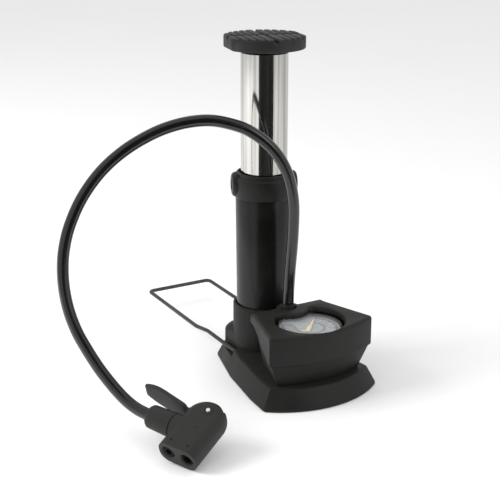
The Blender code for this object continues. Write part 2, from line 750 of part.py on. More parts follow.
def build_gauge():
    x, y = GAUGE_X, 0.0
    case = turned("gauge_case", [
        (GAUGE_R, 44.2), (GAUGE_R, 32.0), (3.3, 32.0), (3.3, 32.8), (GAUGE_R - 0.8, 32.8),
        (GAUGE_R - 0.8, 44.2),
    ], STEEL, (x, y, 0), 32)
    smooth(case)
    stem = turned("gauge_stem", [
        (0, 31.6), (2.9, 31.6), (2.9, 16.4), (4.0, 16.4), (4.0, 14.3), (2.0, 14.3),
        (2.0, 8.4), (0, 8.4),
    ], BRASS, (x, y, 0), 12)
    block = box("stem_block", (x - 2.2, -2.2, 30.5), (x + 2.2, 2.2, 34.0), None,
                collection=CUTTERS)
    foot_block = box("stem_tube_seat", (x + 1.5, -1.3, 33.2), (x + 15.6, 1.3, 34.0), None,
                     collection=CUTTERS)
    join(stem, block, foot_block)
    bore = rod("stem_bore", (x, 0, 7), (x, 0, 32.6), 0.9, None, 8, collection=CUTTERS)
    pivot_hole = rod("stem_pivot_hole", (x, 0, 33.0), (x, 0, 36), 0.75, None, 10,
                     collection=CUTTERS)
    cut(stem, bore, pivot_hole)
    tube_r = 14.6
    arc = [
        (x + tube_r * math.cos(a), tube_r * math.sin(a), 35.7)
        for a in (math.radians(8 + 262 * k / 15) for k in range(16))
    ]
    wire("bourdon_tube", arc, 1.2, BRASS)
    build_movement()
    turned("gauge_dial", [
        (19.2, 42.0), (19.2, 41.4), (1.3, 41.4), (1.3, 42.0),
    ], DIAL_WHITE, (x, y, 0), 32)
    turned("gauge_lens", [
        (0, 44.2), (17.0, 44.1), (19.3, 43.7), (19.3, 43.0), (0, 43.0),
    ], CLEAR, (x, y, 0), 32)


def build_movement():
    """Toothed sector on a fixed bridge, and the pinion arbor that carries the pointer."""
    px, py = SECTOR_PIVOT
    low, high = GEAR_Z
    bridge = box("movement_bridge", (px - 3.0, -2.4, 37.4), (GAUGE_X + 3.0, 2.4, 38.4), BRASS)
    post = rod("bridge_post", (px, py, 33.1), (px, py, 38.0), 0.7, None, 10, collection=CUTTERS)
    join(bridge, post)
    arbor_hole = rod("arbor_hole", (GAUGE_X, 0, 36), (GAUGE_X, 0, 40), 0.85, None, 12,
                     collection=CUTTERS)
    cut(bridge, arbor_hole)
    half_pitch = math.pi / SECTOR_TEETH
    teeth = gear_outline(SECTOR_TEETH, -7, 2, SECTOR_PIVOT, half_pitch)
    tail = [
        (px + 1.9 * math.cos(a), py + 1.9 * math.sin(a))
        for a in (math.radians(100 + 22 * k) for k in range(10))
    ]
    sector = prism("gauge_sector", teeth + tail, low, high, BRASS)
    hole = rod("sector_hole", (px, py, 30), (px, py, 40), 1.0, None, 12, collection=CUTTERS)
    cut(sector, hole)
    pinion_teeth = gear_outline(PINION_TEETH, 0, PINION_TEETH, (GAUGE_X, 0.0), math.pi)
    pinion = prism("gauge_pointer", pinion_teeth, low - 0.1, high + 0.1, POINTER_CREAM)
    arbor = rod("pointer_arbor", (GAUGE_X, 0, 34.3), (GAUGE_X, 0, 42.8), 0.6, None, 10,
                collection=CUTTERS)
    pivot = rod("pointer_pivot", (GAUGE_X, 0, 33.3), (GAUGE_X, 0, 34.4), 0.45, None, 8,
                collection=CUTTERS)
    turn = Matrix.Rotation(POINTER_ANGLE, 4, "Z")
    blade = prism("pointer_blade", [
        (-15.5, 0.0), (-10.0, -0.6), (-2.0, -0.7), (0.0, -1.4), (5.5, -1.2), (7.2, -1.8),
        (7.8, 0.0), (7.2, 1.8), (5.5, 1.2), (0.0, 1.4), (-2.0, 0.7), (-10.0, 0.6),
    ], 42.35, 42.75, None, CUTTERS, turn, (GAUGE_X, 0, 0))
    join(pinion, arbor, pivot, blade)


# ---------------------------------------------------------------- plunger and pedal
def build_plunger():
    turned("chrome_tube", [
        (TUBE_R, TUBE_TOP_Z), (TUBE_R, TUBE_BOTTOM_Z), (TUBE_BORE_R, TUBE_BOTTOM_Z),
        (TUBE_BORE_R, TUBE_TOP_Z),
    ], CHROME, steps=40)
    turned("tube_bush", [
        (16.1, 118.0), (16.1, 110.5), (ROD_R + FIT, 110.5), (ROD_R + FIT, 113.0),
        (15.3, 113.0), (15.3, 118.0),
    ], NYLON, steps=28)
    turned("cylinder_head", [
        (14.9, 208.9), (14.9, 207.3), (13.5, 207.3), (13.5, 206.5), (12.2, 206.5),
        (12.2, 204.7), (13.5, 204.7), (13.5, 203.9), (2.6, 203.9), (2.6, 208.9),
    ], NYLON, steps=20)
    ring = [
        (12.95 + 0.55 * math.cos(a), 205.6 + 0.75 * math.sin(a))
        for a in (math.radians(90 - 60 * k) for k in range(6))
    ]
    turned("head_o_ring", ring, RUBBER, steps=20)
    turned("pedal_screw", [
        (0, 211.6), (1.2, 211.6), (1.2, 213.2), (4.2, 213.2), (4.2, 211.1), (2.3, 211.1),
        (2.3, 204.4), (0, 204.4),
    ], STEEL, steps=12)


def pedal_outline(radius, flat, steps=9):
    """A disc cut by two parallel flats, as an outline."""
    edge = math.asin(flat / radius)
    outline = []
    for side in (0.0, math.pi):
        for k in range(steps + 1):
            a = side - edge + 2 * edge * k / steps
            outline.append((radius * math.cos(a), radius * math.sin(a)))
    return outline


def build_pedal():
    """Hard core that turns on the screw, under a one-piece rubber tread."""
    turn = Matrix.Rotation(PEDAL_TURN, 4, "Z")
    turned("pedal_core", [
        (21.4, 213.6), (21.4, PEDAL_LOW_Z + 0.2), (2.6, PEDAL_LOW_Z + 0.2), (2.6, 210.8),
        (4.7, 210.8), (4.7, 213.6),
    ], BLACK_PLASTIC, steps=28)
    full = pedal_outline(PEDAL_R, PEDAL_FLAT)
    tread = loft("pedal_tread", [
        at_height(inset(full, 0.7), PEDAL_LOW_Z),
        at_height(full, PEDAL_LOW_Z + 0.7),
        at_height(full, PEDAL_TOP_Z - 0.5),
        at_height(inset(full, 0.5), PEDAL_TOP_Z),
    ], RUBBER, turn)
    pocket = rod("core_pocket", (0, 0, 205), (0, 0, 213.9), 21.7, None, 28, collection=CUTTERS)
    cut(tread, pocket)
    deep = box("groove_along", (-40, -1.5, 214.9), (40, 1.5, 230), None, turn,
               collection=CUTTERS)
    across = box("groove_across", (-1.5, -40, 215.9), (1.5, 40, 230), None, turn,
                 collection=CUTTERS)
    cut(tread, deep, across)
    for i, y in enumerate((-19.6, -15.1, -10.7, -6.2, 6.2, 10.7, 15.1, 19.6)):
        groove = box(f"tread_groove_{i}", (-40, y - 0.8, 216.3), (40, y + 0.8, 230), None, turn,
                     collection=CUTTERS)
        cut(tread, groove)


# ---------------------------------------------------------------- bail
def fillet(points, radii, steps=3):
    """Round the inner corners of a 3D polyline, each with its own radius."""
    path = [Vector(points[0])]
    for before, here, after, radius in zip(points, points[1:], points[2:], radii):
        here = Vector(here)
        back = (Vector(before) - here).normalized()
        ahead = (Vector(after) - here).normalized()
        half = back.angle(ahead) / 2
        run = radius / math.tan(half)
        centre = here + (back + ahead).normalized() * (radius / math.sin(half))
        start = here + back * run - centre
        end = here + ahead * run - centre
        for k in range(steps + 1):
            path.append(centre + start.slerp(end, k / steps).normalized() * radius)
    path.append(Vector(points[-1]))
    return path


def build_bail():
    """Wire loop whose legs step outward, hooked into the base at both ends."""
    low = BAIL_PIVOT.z
    side = [
        (BAIL_PIVOT.x, -17.0, low), (BAIL_PIVOT.x, -BAIL_LEG_Y, low),
        (-38.0, -BAIL_LEG_Y, low + 1.0), (-49.0, -BAIL_WIDE_Y, low + 1.3),
        (BAIL_REACH_X, -BAIL_WIDE_Y, BAIL_BAR_Z),
    ]
    other = [mirror_y(p) for p in reversed(side)]
    radii = [1.6, 5.0, 5.0, 3.6]
    path = fillet(side + other, radii + radii[::-1])
    bail = wire("foot_bail", path, BAIL_WIRE_R, DARK_STEEL)
    shift_origin(bail, BAIL_PIVOT)


def shift_origin(made, at):
    """Move an object's origin to a point without moving its shape."""
    offset = Vector(at) * MM
    made.data.transform(Matrix.Translation(-offset) @ made.matrix_world)
    made.matrix_world = Matrix.Translation(offset)


# ---------------------------------------------------------------- hose
HOSE_ROUTE = [
    (30.7, 0, 50.3), (31.1, 0, 59), (32.3, 0.1, 73), (34, 0.2, 87), (35.6, 0, 100.5),
    (37.1, -0.8, 115.5), (37.5, -2.4, 126), (37.3, -4.9, 135.4), (36.6, -8.3, 143.6),
    (35.2, -12.8, 151), (33, -18.4, 157.6), (30.3, -25.4, 163.4), (27, -33.5, 168),
    (21.8, -46.8, 171.9), (17.4, -58.5, 172.2), (12.8, -71.3, 169.8), (8.6, -84.2, 164.9),
    (4.3, -99, 156.4), (1.2, -112.8, 145), (-0.1, -124.8, 130.6), (0.3, -133.6, 115),
    (2.3, -138.8, 101.4), (5.6, -141.6, 89.2), (10, -142.8, 77.8), (15.4, -142.6, 66.8),
    (22.3, -141.1, 56.4), (29.2, -138.6, 48), (34.4, -136.6, 42.3), (39.8, -134.4, 36.8),
    (45.7, -131.7, 31.4), (51.6, -129, 26.6), (57.8, -125.9, 22.3), (64.1, -122.5, 19.3),
    (70.7, -119, 17.8),
]


def build_hose():
    route = smooth_route(HOSE_ROUTE, 50)
    wire("hose", route, HOSE_R, HOSE_BLACK)


# ---------------------------------------------------------------- valve head
def head_frame():
    """The head's own axes: x to the hose, y to the valve holes, z up through its flat side."""
    x = HEAD_TO_HOSE.normalized()
    y = (HEAD_TO_HOLES - HEAD_TO_HOLES.project(x)).normalized()
    z = x.cross(y)
    matrix = Matrix((x, y, z)).transposed().to_4x4()
    return Matrix.Translation(HEAD_AT * MM) @ matrix


HEAD = head_frame()
ALONG_HOLES = along((0, 1, 0))
ALONG_HOSE = along((1, 0, 0))


def head_outline(end):
    """Outline of the body from its flat side: a round dome and a straight end."""
    dome_y = 3.5
    outline = []
    steps = 12
    for k in range(steps + 1):
        a = math.pi * (1 + k / steps)
        outline.append((HEAD_HALF_W * math.cos(a), dome_y + HEAD_HALF_W * math.sin(a)))
    return outline + [(HEAD_HALF_W, end), (-HEAD_HALF_W, end)]


def build_head_body():
    outline = head_outline(HEAD_END + 8.0)
    rounding = [(-HEAD_HALF_T, 6.0), (-6.9, 3.9), (-5.6, 1.9), (-3.4, 0.5), (0.0, 0.0)]
    rounding += [(-z, distance) for z, distance in reversed(rounding[:-1])]
    sections = [at_height(inset(outline, distance), z) for z, distance in rounding]
    body = loft("valve_head_body", sections, BLACK_PLASTIC, HEAD)
    end = box("head_end_cut", (-20, HEAD_END, -20), (20, HEAD_END + 20, 20), None, HEAD,
              collection=CUTTERS)
    boss = rod("pin_boss", (PIN_H, 0, 6.0), (PIN_H, 0, HEAD_HALF_T + 0.45), 3.2, None, 18,
               frame=HEAD, collection=CUTTERS)
    socket = rod("neck_boss", (-2.0, NECK_V, 0), (NECK_SEAM, NECK_V, 0), NECK_R, None, 24,
                 frame=HEAD, collection=CUTTERS)
    slot = box("lever_slot", (-8.3, -14, -4.9), (7.5, 7.0, 4.9), None, HEAD, collection=CUTTERS)
    outer_slot = box("lever_slot_outer", (7.4, -14, -4.9), (16, 4.6, 4.9), None, HEAD,
                     collection=CUTTERS)
    pin_hole = rod("pin_hole", (PIN_H, 0, -12), (PIN_H, 0, 12), 1.65, None, 12, frame=HEAD,
                   collection=CUTTERS)
    chamber = box("presser_chamber", (-9.7, 20.2, -3.7), (9.7, 24.7, 3.7), None, HEAD,
                  collection=CUTTERS)
    stem_bore = rod("stem_bore_hole", (PIN_H, 5, 0), (PIN_H, 21, 0), 2.6, None, 14, frame=HEAD,
                    collection=CUTTERS)
    port = rod("neck_port", (4.4, NECK_V, 0), (16, NECK_V, 0), 4.2, None, 16, frame=HEAD,
               collection=CUTTERS)
    passage = rod("air_passage", (0.3, NECK_V, 0), (6, NECK_V, 0), 1.3, None, 9, frame=HEAD,
                  collection=CUTTERS)
    join(body, boss, socket)
    cut(body, end, slot, outer_slot, pin_hole, chamber, stem_bore, port, passage)
    for side in (-1, 1):
        hole = rod(f"valve_hole_{side}", (side * HOLE_SPACING / 2, 24, 0),
                   (side * HOLE_SPACING / 2, HEAD_END + 2, 0), 3.6, None, 16, frame=HEAD,
                   collection=CUTTERS)
        cut(body, hole)


def build_head_neck():
    place = HEAD @ Matrix.Translation((0, NECK_V * MM, 0)) @ ALONG_HOSE
    turned("head_neck", [
        (5.6, NECK_END), (6.9, 30.2), (NECK_R, NECK_SEAM + FIT), (3.9, NECK_SEAM + FIT),
        (3.9, 5.0), (2.8, 5.0), (2.8, NECK_END),
    ], BLACK_PLASTIC, steps=24, frame=place)
    turned("head_barb", [
        (1.9, 30.6), (2.4, 28.6), (1.9, 28.4), (2.4, 26.2), (1.9, 26.0), (2.4, 23.8),
        (1.9, 23.6), (1.9, 6.0), (1.1, 6.0), (1.1, 30.6),
    ], BRASS, steps=10, frame=place)


def build_head_insides():
    """Rubber gaskets, the presser that squeezes them and the pin."""
    for name, side, bore in (("wide_gasket", -1, 2.6), ("narrow_gasket", 1, 1.8)):
        place = HEAD @ Matrix.Translation((side * HOLE_SPACING / 2 * MM, 0, 0)) @ ALONG_HOLES
        turned(name, [
            (3.3, 30.5), (3.3, 27.1), (bore, 27.1), (bore, 30.5),
        ], RUBBER, steps=14, frame=place)
    presser = box("gasket_presser", (-9.2, 20.6, -2.9), (9.2, 22.0, 2.9), NYLON, HEAD)
    stem = rod("presser_stem", (PIN_H, 5.4, 0), (PIN_H, 21.3, 0), 2.2, None, 14, frame=HEAD,
               collection=CUTTERS)
    join(presser, stem)
    for side in (-1, 1):
        boss = rod(f"presser_boss_{side}", (side * HOLE_SPACING / 2, 21.3, 0),
                   (side * HOLE_SPACING / 2, 25.2, 0), 2.8, None, 14, frame=HEAD,
                   collection=CUTTERS)
        join(presser, boss)
    rod("lever_pin", (PIN_H, 0, -7.7), (PIN_H, 0, 8.0), 1.35, STEEL, 14, frame=HEAD)


LEVER_PLATE = [               # along the hose, outer face, inner face, half width
    (1.5, -2.0, 3.0, 4.2), (12.5, 1.15, 3.6, 4.6), (13.7, 1.0, 3.4, 6.4), (16.5, 0.5, 2.9, 7.0),
    (24.0, -1.0, 1.4, 7.0), (34.0, -2.9, -0.5, 6.9), (40.0, -3.6, -1.1, 5.9),
    (45.8, -3.85, -1.9, 3.8),
]


def cam_radius(degrees):
    """Distance of the cam's edge from its pin: low towards the presser, then a lobe."""
    if degrees <= 90:
        return 5.0
    if degrees <= 180:
        return 5.0 + (degrees - 90) / 60
    if degrees <= 300:
        return 6.5 - (degrees - 180) / 60
    return 4.5 + (degrees - 300) / 120


def build_head_lever():
    """Thumb lever: a flat plate that grows from a cam around its pin."""
    cam = []
    for a in range(0, 360, 20):
        turn = math.radians(a)
        cam.append((PIN_H + cam_radius(a) * math.cos(turn), cam_radius(a) * math.sin(turn)))
    lever = prism("head_lever", cam, -4.6, 4.6, BLACK_PLASTIC, frame=HEAD)
    chamfer = 0.5
    sections = []
    for h, outer, inner, half in LEVER_PLATE:
        sections.append([
            (h, outer, -half + chamfer), (h, outer, half - chamfer),
            (h, outer + chamfer, half), (h, inner - chamfer, half),
            (h, inner, half - chamfer), (h, inner, -half + chamfer),
            (h, inner - chamfer, -half), (h, outer + chamfer, -half),
        ])
    plate = loft("lever_plate", sections, None, HEAD, collection=CUTTERS)
    hole = rod("lever_hole", (PIN_H, 0, -12), (PIN_H, 0, 12), 1.65, None, 12, frame=HEAD,
               collection=CUTTERS)
    join(lever, plate)
    cut(lever, hole)


def set_joint_origins():
    """Put the origin of each moving piece on its joint's axis."""
    bpy.context.view_layer.update()
    pin = (HEAD @ Vector((PIN_H * MM, 0, 0))) / MM
    places = {
        "head_lever": pin,
        "gasket_presser": pin,
        "gauge_sector": (*SECTOR_PIVOT, GEAR_Z[0]),
        "gauge_pointer": (GAUGE_X, 0, GEAR_Z[0]),
    }
    for name, at in places.items():
        bake_origin(bpy.data.objects[name], at)


def bake_origin(made, at):
    """Apply an object's modifiers, then move its origin to a point."""
    evaluated = made.evaluated_get(bpy.context.evaluated_depsgraph_get())
    mesh = bpy.data.meshes.new_from_object(evaluated)
    made.modifiers.clear()
    made.data = mesh
    shift_origin(made, at)


def weld_cut_pieces():
    """Close the hairline doubles that exact cuts can leave."""
    for made in PARTS.objects:
        if any(step.type == "BOOLEAN" for step in made.modifiers):
            step = made.modifiers.new("weld", "WELD")
            step.merge_threshold = 0.000005


build_base_housing()
build_base_plate()
build_base_screws()
build_gauge_cover()
build_barrel()
build_collar()
build_collar_screws()
build_guides()
build_rod_and_piston()
build_check_valve()
build_manifold()
build_hose_fittings()
build_gauge()
build_plunger()
build_pedal()
build_bail()
build_hose()
build_head_body()
build_head_neck()
build_head_insides()
build_head_lever()
weld_cut_pieces()
set_joint_origins()
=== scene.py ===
"""Looks of the foot pump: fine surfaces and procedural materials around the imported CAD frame.

Shapes are written in millimetres in the frame's own axes, and the helpers turn them into metres:
the barrel's axis meets the floor at the origin, +Z is up and +X points to the gauge.
"""
import json
import math

import bmesh
import bpy
from mathutils import Matrix, Vector

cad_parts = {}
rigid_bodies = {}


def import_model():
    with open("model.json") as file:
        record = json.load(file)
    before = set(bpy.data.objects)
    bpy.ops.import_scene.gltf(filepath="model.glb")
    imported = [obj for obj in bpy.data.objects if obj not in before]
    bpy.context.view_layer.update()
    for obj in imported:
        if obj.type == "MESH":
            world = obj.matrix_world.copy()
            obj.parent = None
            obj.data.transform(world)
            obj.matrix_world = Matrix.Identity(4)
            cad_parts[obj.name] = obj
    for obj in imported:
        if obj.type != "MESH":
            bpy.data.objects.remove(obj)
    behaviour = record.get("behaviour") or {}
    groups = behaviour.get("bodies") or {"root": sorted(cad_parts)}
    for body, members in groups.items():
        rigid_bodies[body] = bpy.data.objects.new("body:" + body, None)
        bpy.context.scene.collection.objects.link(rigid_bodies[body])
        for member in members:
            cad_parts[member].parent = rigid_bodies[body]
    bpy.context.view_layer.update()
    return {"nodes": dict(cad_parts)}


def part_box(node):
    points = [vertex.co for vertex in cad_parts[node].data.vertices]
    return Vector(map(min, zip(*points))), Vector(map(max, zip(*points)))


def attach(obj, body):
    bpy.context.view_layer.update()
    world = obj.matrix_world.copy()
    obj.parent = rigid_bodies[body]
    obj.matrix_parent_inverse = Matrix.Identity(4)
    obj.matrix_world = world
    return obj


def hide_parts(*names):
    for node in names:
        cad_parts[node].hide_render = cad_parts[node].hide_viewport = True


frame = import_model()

MM = 0.001
NODES = frame["nodes"]


def node_size(node):
    """Lowest and highest corner of a CAD node, in millimetres."""
    low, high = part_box(node)
    return Vector(low) / MM, Vector(high) / MM


# ---- camera
def add_camera():
    data = bpy.data.cameras.new("camera")
    data.sensor_width = 36.0
    data.lens = 81.34
    data.clip_start = 0.01
    made = bpy.data.objects.new("camera", data)
    made.location = (0.6036, -0.3646, 0.30735)
    made.rotation_euler = (math.radians(71.93), 0.0, math.radians(59.6))
    bpy.context.scene.collection.objects.link(made)
    bpy.context.scene.camera = made


add_camera()


# ---- mesh helpers
# Every shape starts in the workshop. A finished piece moves out, and what is left are cutters.
PIECES = bpy.data.collections.new("foot_pump")
WORKSHOP = bpy.data.collections.new("foot_pump_cutters")
bpy.context.scene.collection.children.link(PIECES)
bpy.context.scene.collection.children.link(WORKSHOP)
WELD = 0.000004             # metres: corners closer than this become one
SLIVER = 0.000003           # metres: edges shorter than this go


def add_object(name, data, collection=WORKSHOP):
    made = bpy.data.objects.new(name, data)
    collection.objects.link(made)
    return made


def as_mesh(shape, name):
    """Turn a bmesh into a mesh and free it."""
    mesh = bpy.data.meshes.new(name)
    shape.to_mesh(mesh)
    shape.free()
    return mesh


def solid(shape, name, place=Matrix()):
    """A closed bmesh as an object, with its faces outward and its mesh moved to a place."""
    bmesh.ops.recalc_face_normals(shape, faces=shape.faces)
    made = add_object(name, as_mesh(shape, name))
    made.data.transform(place)
    return made


def shift(x=0.0, y=0.0, z=0.0):
    """A move in millimetres."""
    return Matrix.Translation(Vector((x, y, z)) * MM)


def turned(name, profile, place=Matrix(), steps=48):
    """A closed turned solid. Its (radius, height) profile runs down the outer side."""
    shape = bmesh.new()
    on_axis = profile[0][0] <= 0
    rings = []
    for r, z in profile:
        if r <= 0:
            rings.append([shape.verts.new((0, 0, z * MM))])
            continue
        rings.append([
            shape.verts.new((r * MM * math.cos(a), r * MM * math.sin(a), z * MM))
            for a in (2 * math.pi * k / steps for k in range(steps))
        ])
    pairs = list(zip(rings, rings[1:]))
    if not on_axis:
        pairs.append((rings[-1], rings[0]))
    for upper, lower in pairs:
        for k in range(steps):
            j = (k + 1) % steps
            corners = [upper[k % len(upper)], lower[k % len(lower)], lower[j % len(lower)],
                       upper[j % len(upper)]]
            face = list(dict.fromkeys(corners))
            if len(face) > 2:
                shape.faces.new(face)
    return solid(shape, name, place)


def add_loft(shape, sections):
    """Skin sections that each list the same number of (x, y, z) points, closed at both ends."""
    rings = [[shape.verts.new(Vector(p) * MM) for p in section] for section in sections]
    count = len(rings[0])
    for low, high in zip(rings, rings[1:]):
        for i in range(count):
            j = (i + 1) % count
            shape.faces.new((low[i], low[j], high[j], high[i]))
    shape.faces.new(list(reversed(rings[0])))
    shape.faces.new(rings[-1])


def loft(name, sections, place=Matrix()):
    """A closed solid through sections."""
    shape = bmesh.new()
    add_loft(shape, sections)
    return solid(shape, name, place)


def rectangle(x0, y0, x1, y1):
    return [(x0, y0), (x1, y0), (x1, y1), (x0, y1)]


def box(name, low, high, place=Matrix()):
    outline = rectangle(*low[:2], *high[:2])
    return loft(name, [at_height(outline, low[2]), at_height(outline, high[2])], place)


def rod(name, start, end, radius, steps=48, top_radius=None, place=None):
    """A cylinder or cone between two points, optionally in a local frame."""
    start = Vector(start)
    end = Vector(end)
    if place is not None:
        start = (place @ (start * MM)) / MM
        end = (place @ (end * MM)) / MM
    length = (end - start).length
    top = radius if top_radius is None else top_radius
    profile = [(0, length), (top, length), (radius, 0), (0, 0)]
    return turned(name, profile, shift(*start) @ along(end - start), steps)


def along(direction):
    """A rotation that turns +Z to a direction."""
    return Vector(direction).to_track_quat("Z", "Y").to_matrix().to_4x4()


def combine(made, others, operation):
    for other in others:
        step = made.modifiers.new(operation.lower(), "BOOLEAN")
        step.operation = operation
        step.solver = "EXACT"
        step.object = other


def cut(made, *others):
    combine(made, others, "DIFFERENCE")


def join(made, *others):
    combine(made, others, "UNION")


def apply_steps(made):
    """Apply a piece's modifiers and return its new mesh."""
    graph = bpy.context.evaluated_depsgraph_get()
    mesh = bpy.data.meshes.new_from_object(made.evaluated_get(graph))
    made.modifiers.clear()
    made.data = mesh
    return mesh


def settle(made, angle=32.0, bevel=0.0, even=False):
    """Apply the cuts, round the sharp edges a little and shade smoothly."""
    mesh = apply_steps(made)
    shape = bmesh.new()
    shape.from_mesh(mesh)
    bmesh.ops.remove_doubles(shape, verts=shape.verts, dist=WELD)
    bmesh.ops.dissolve_degenerate(shape, edges=shape.edges, dist=SLIVER)
    shape.to_mesh(mesh)
    shape.free()
    if bevel:
        step = made.modifiers.new("edges", "BEVEL")
        step.width = bevel * MM
        step.segments = 2
        step.limit_method = "ANGLE"
        step.angle_limit = math.radians(angle)
        mesh = apply_steps(made)
    mesh.shade_smooth()
    mesh.set_sharp_from_angle(angle=math.radians(angle))
    if even:
        step = made.modifiers.new("normals", "WEIGHTED_NORMAL")
        step.keep_sharp = True
        apply_steps(made)
    return made


def clear_workshop():
    for cutter in list(WORKSHOP.objects):
        bpy.data.objects.remove(cutter)
    bpy.data.collections.remove(WORKSHOP)


def at_height(outline, z):
    """Lift a flat outline to a height, or to the height that a function of x gives."""
    if callable(z):
        return [(x, y, z(x)) for x, y in outline]
    return [(x, y, z) for x, y in outline]


def stack(outline_at, *levels):
    """Sections for a loft: the outline at each (distance, height)."""
    return [at_height(outline_at(distance), z) for distance, z in levels]


def inset(outline, distance):
    """Move each point of a counter-clockwise outline inward, keeping its sides parallel."""
    moved = []
    count = len(outline)
    for i in range(count):
        here = Vector(outline[i])
        before = (here - Vector(outline[i - 1])).normalized()
        after = (Vector(outline[(i + 1) % count]) - here).normalized()
        normal_a = Vector((-before.y, before.x))
        normal_b = Vector((-after.y, after.x))
        bisector = (normal_a + normal_b).normalized()
        reach = distance / max(0.35, bisector.dot(normal_a))
        moved.append(tuple(here + bisector * reach))
    return moved


def corner_arc(before, here, after, radius, steps=8):
    """Points of the arc that rounds one corner of a line."""
    back = (before - here).normalized()
    ahead = (after - here).normalized()
    half = back.angle(ahead) / 2
    run = radius / math.tan(half)
    centre = here + (back + ahead).normalized() * (radius / math.sin(half))
    start = here + back * run - centre
    end = here + ahead * run - centre
    return [centre + start.slerp(end, k / steps).normalized() * radius for k in range(steps + 1)]


def rounded(corners):
    """A closed outline from (x, y, radius) corners, with an arc at each radius."""
    outline = []
    points = [Vector(corner[:2]) for corner in corners]
    for i, here in enumerate(points):
        before = points[i - 1]
        after = points[(i + 1) % len(points)]
        radius = corners[i][2]
        if radius == 0 or (here - before).angle(after - here) < math.radians(2):
            outline.append(tuple(here))
        else:
            outline += [tuple(point) for point in corner_arc(before, here, after, radius)]
    return outline


def fillet(points, radii):
    """Round the inner corners of an open line, each with its own radius."""
    points = [Vector(point) for point in points]
    path = points[:1]
    for before, here, after, radius in zip(points, points[1:], points[2:], radii):
        path += corner_arc(before, here, after, radius)
    return path + points[-1:]


def on_circle(radius, angle, x=0.0, y=0.0):
    """A point on a circle around (x, y)."""
    return (x + radius * math.cos(angle), y + radius * math.sin(angle))


def smooth_route(points, count):
    """Evenly spaced points on a smooth curve through a route's own points."""
    knots = [Vector(p) for p in points]
    knots = [knots[0] * 2 - knots[1]] + knots + [knots[-1] * 2 - knots[-2]]
    dense = []
    fine = 12
    for i in range(1, len(knots) - 2):
        a, b, c, d = knots[i - 1:i + 3]
        for k in range(fine):
            t = k / fine
            dense.append(0.5 * (2 * b + (c - a) * t + (2 * a - 5 * b + 4 * c - d) * t * t
                                + (3 * b - a - 3 * c + d) * t * t * t))
    dense.append(knots[-2])
    reach = [0.0]
    for p, q in zip(dense, dense[1:]):
        reach.append(reach[-1] + (q - p).length)
    even = []
    j = 0
    for k in range(count):
        goal = reach[-1] * k / (count - 1)
        while j < len(reach) - 2 and reach[j + 1] < goal:
            j += 1
        share = (goal - reach[j]) / (reach[j + 1] - reach[j])
        even.append(dense[j].lerp(dense[j + 1], share))
    return even


def poly_curve(name, points, radius, sides=6):
    """A round wire or hose along points in millimetres."""
    curve = bpy.data.curves.new(name, "CURVE")
    curve.dimensions = "3D"
    curve.bevel_depth = radius * MM
    curve.bevel_resolution = sides
    curve.use_fill_caps = True
    spline = curve.splines.new("POLY")
    spline.points.add(len(points) - 1)
    spline.use_smooth = True
    for slot, point in zip(spline.points, points):
        slot.co = (*(Vector(point) * MM), 1.0)
    return add_object(name, curve)


# ---- materials
def plug(socket, value):
    """Set an input to a value, or link another node's output to it."""
    if isinstance(value, bpy.types.NodeSocket):
        socket.id_data.links.new(value, socket)
    else:
        socket.default_value = value


def feed(node, **inputs):
    """Plug a node's inputs by name, with an underscore for each space."""
    for name, value in inputs.items():
        plug(node.inputs[name.replace("_", " ")], value)
    return node


def add_node(tree, kind, **inputs):
    return feed(tree.nodes.new("ShaderNode" + kind), **inputs)


def noise_at(tree, scale, stretch=(1, 1, 1), detail=3.0):
    """A noise texture in the object's own metres, optionally stretched along an axis."""
    coords = add_node(tree, "TexCoord").outputs["Object"]
    mapping = add_node(tree, "Mapping", Vector=coords, Scale=stretch).outputs["Vector"]
    noise = add_node(tree, "TexNoise", Vector=mapping, Scale=scale, Detail=detail)
    return noise.outputs["Fac"]


def spread(tree, value, low, high, out_low=0.0, out_high=1.0):
    """Map a value from one range to another, with its ends held."""
    made = add_node(tree, "MapRange", Value=value, From_Min=low, From_Max=high, To_Min=out_low,
                    To_Max=out_high)
    return made.outputs["Result"]


def height_of(tree, vector):
    """The Z part of a vector."""
    return add_node(tree, "SeparateXYZ", Vector=vector).outputs["Z"]


def worked_out(tree, operation, first, second):
    """Two values put through a Math node."""
    made = add_node(tree, "Math")
    made.operation = operation
    plug(made.inputs[0], first)
    plug(made.inputs[1], second)
    return made.outputs["Value"]


def blend_colours(tree, factor, first, second):
    """A mix of two colours, each a tuple or a socket."""
    made = add_node(tree, "Mix")
    made.data_type = "RGBA"
    plug(made.inputs[0], factor)
    for socket, colour in ((made.inputs[6], first), (made.inputs[7], second)):
        plug(socket, (*colour, 1.0) if isinstance(colour, tuple) else colour)
    return made.outputs[2]


def top_light_mask(tree):
    """How far a surface faces up, from 0 to 1: the mask of the painted top light."""
    normal = add_node(tree, "NewGeometry").outputs["Normal"]
    return spread(tree, height_of(tree, normal), 0.55, 1.0)


def bump(tree, shader, layers):
    """Stack bumps of (height socket, strength, depth in millimetres) on a shader's normal."""
    before = None
    for height, strength, depth in layers:
        made = add_node(tree, "Bump", Strength=strength, Distance=depth * MM, Height=height)
        if before is not None:
            feed(made, Normal=before)
        before = made.outputs["Normal"]
    feed(shader, Normal=before)


def start_material(name, metallic=0.0):
    made = bpy.data.materials.new(name)
    made.use_nodes = True
    shader = feed(made.node_tree.nodes["Principled BSDF"], Metallic=metallic)
    return made, made.node_tree, shader


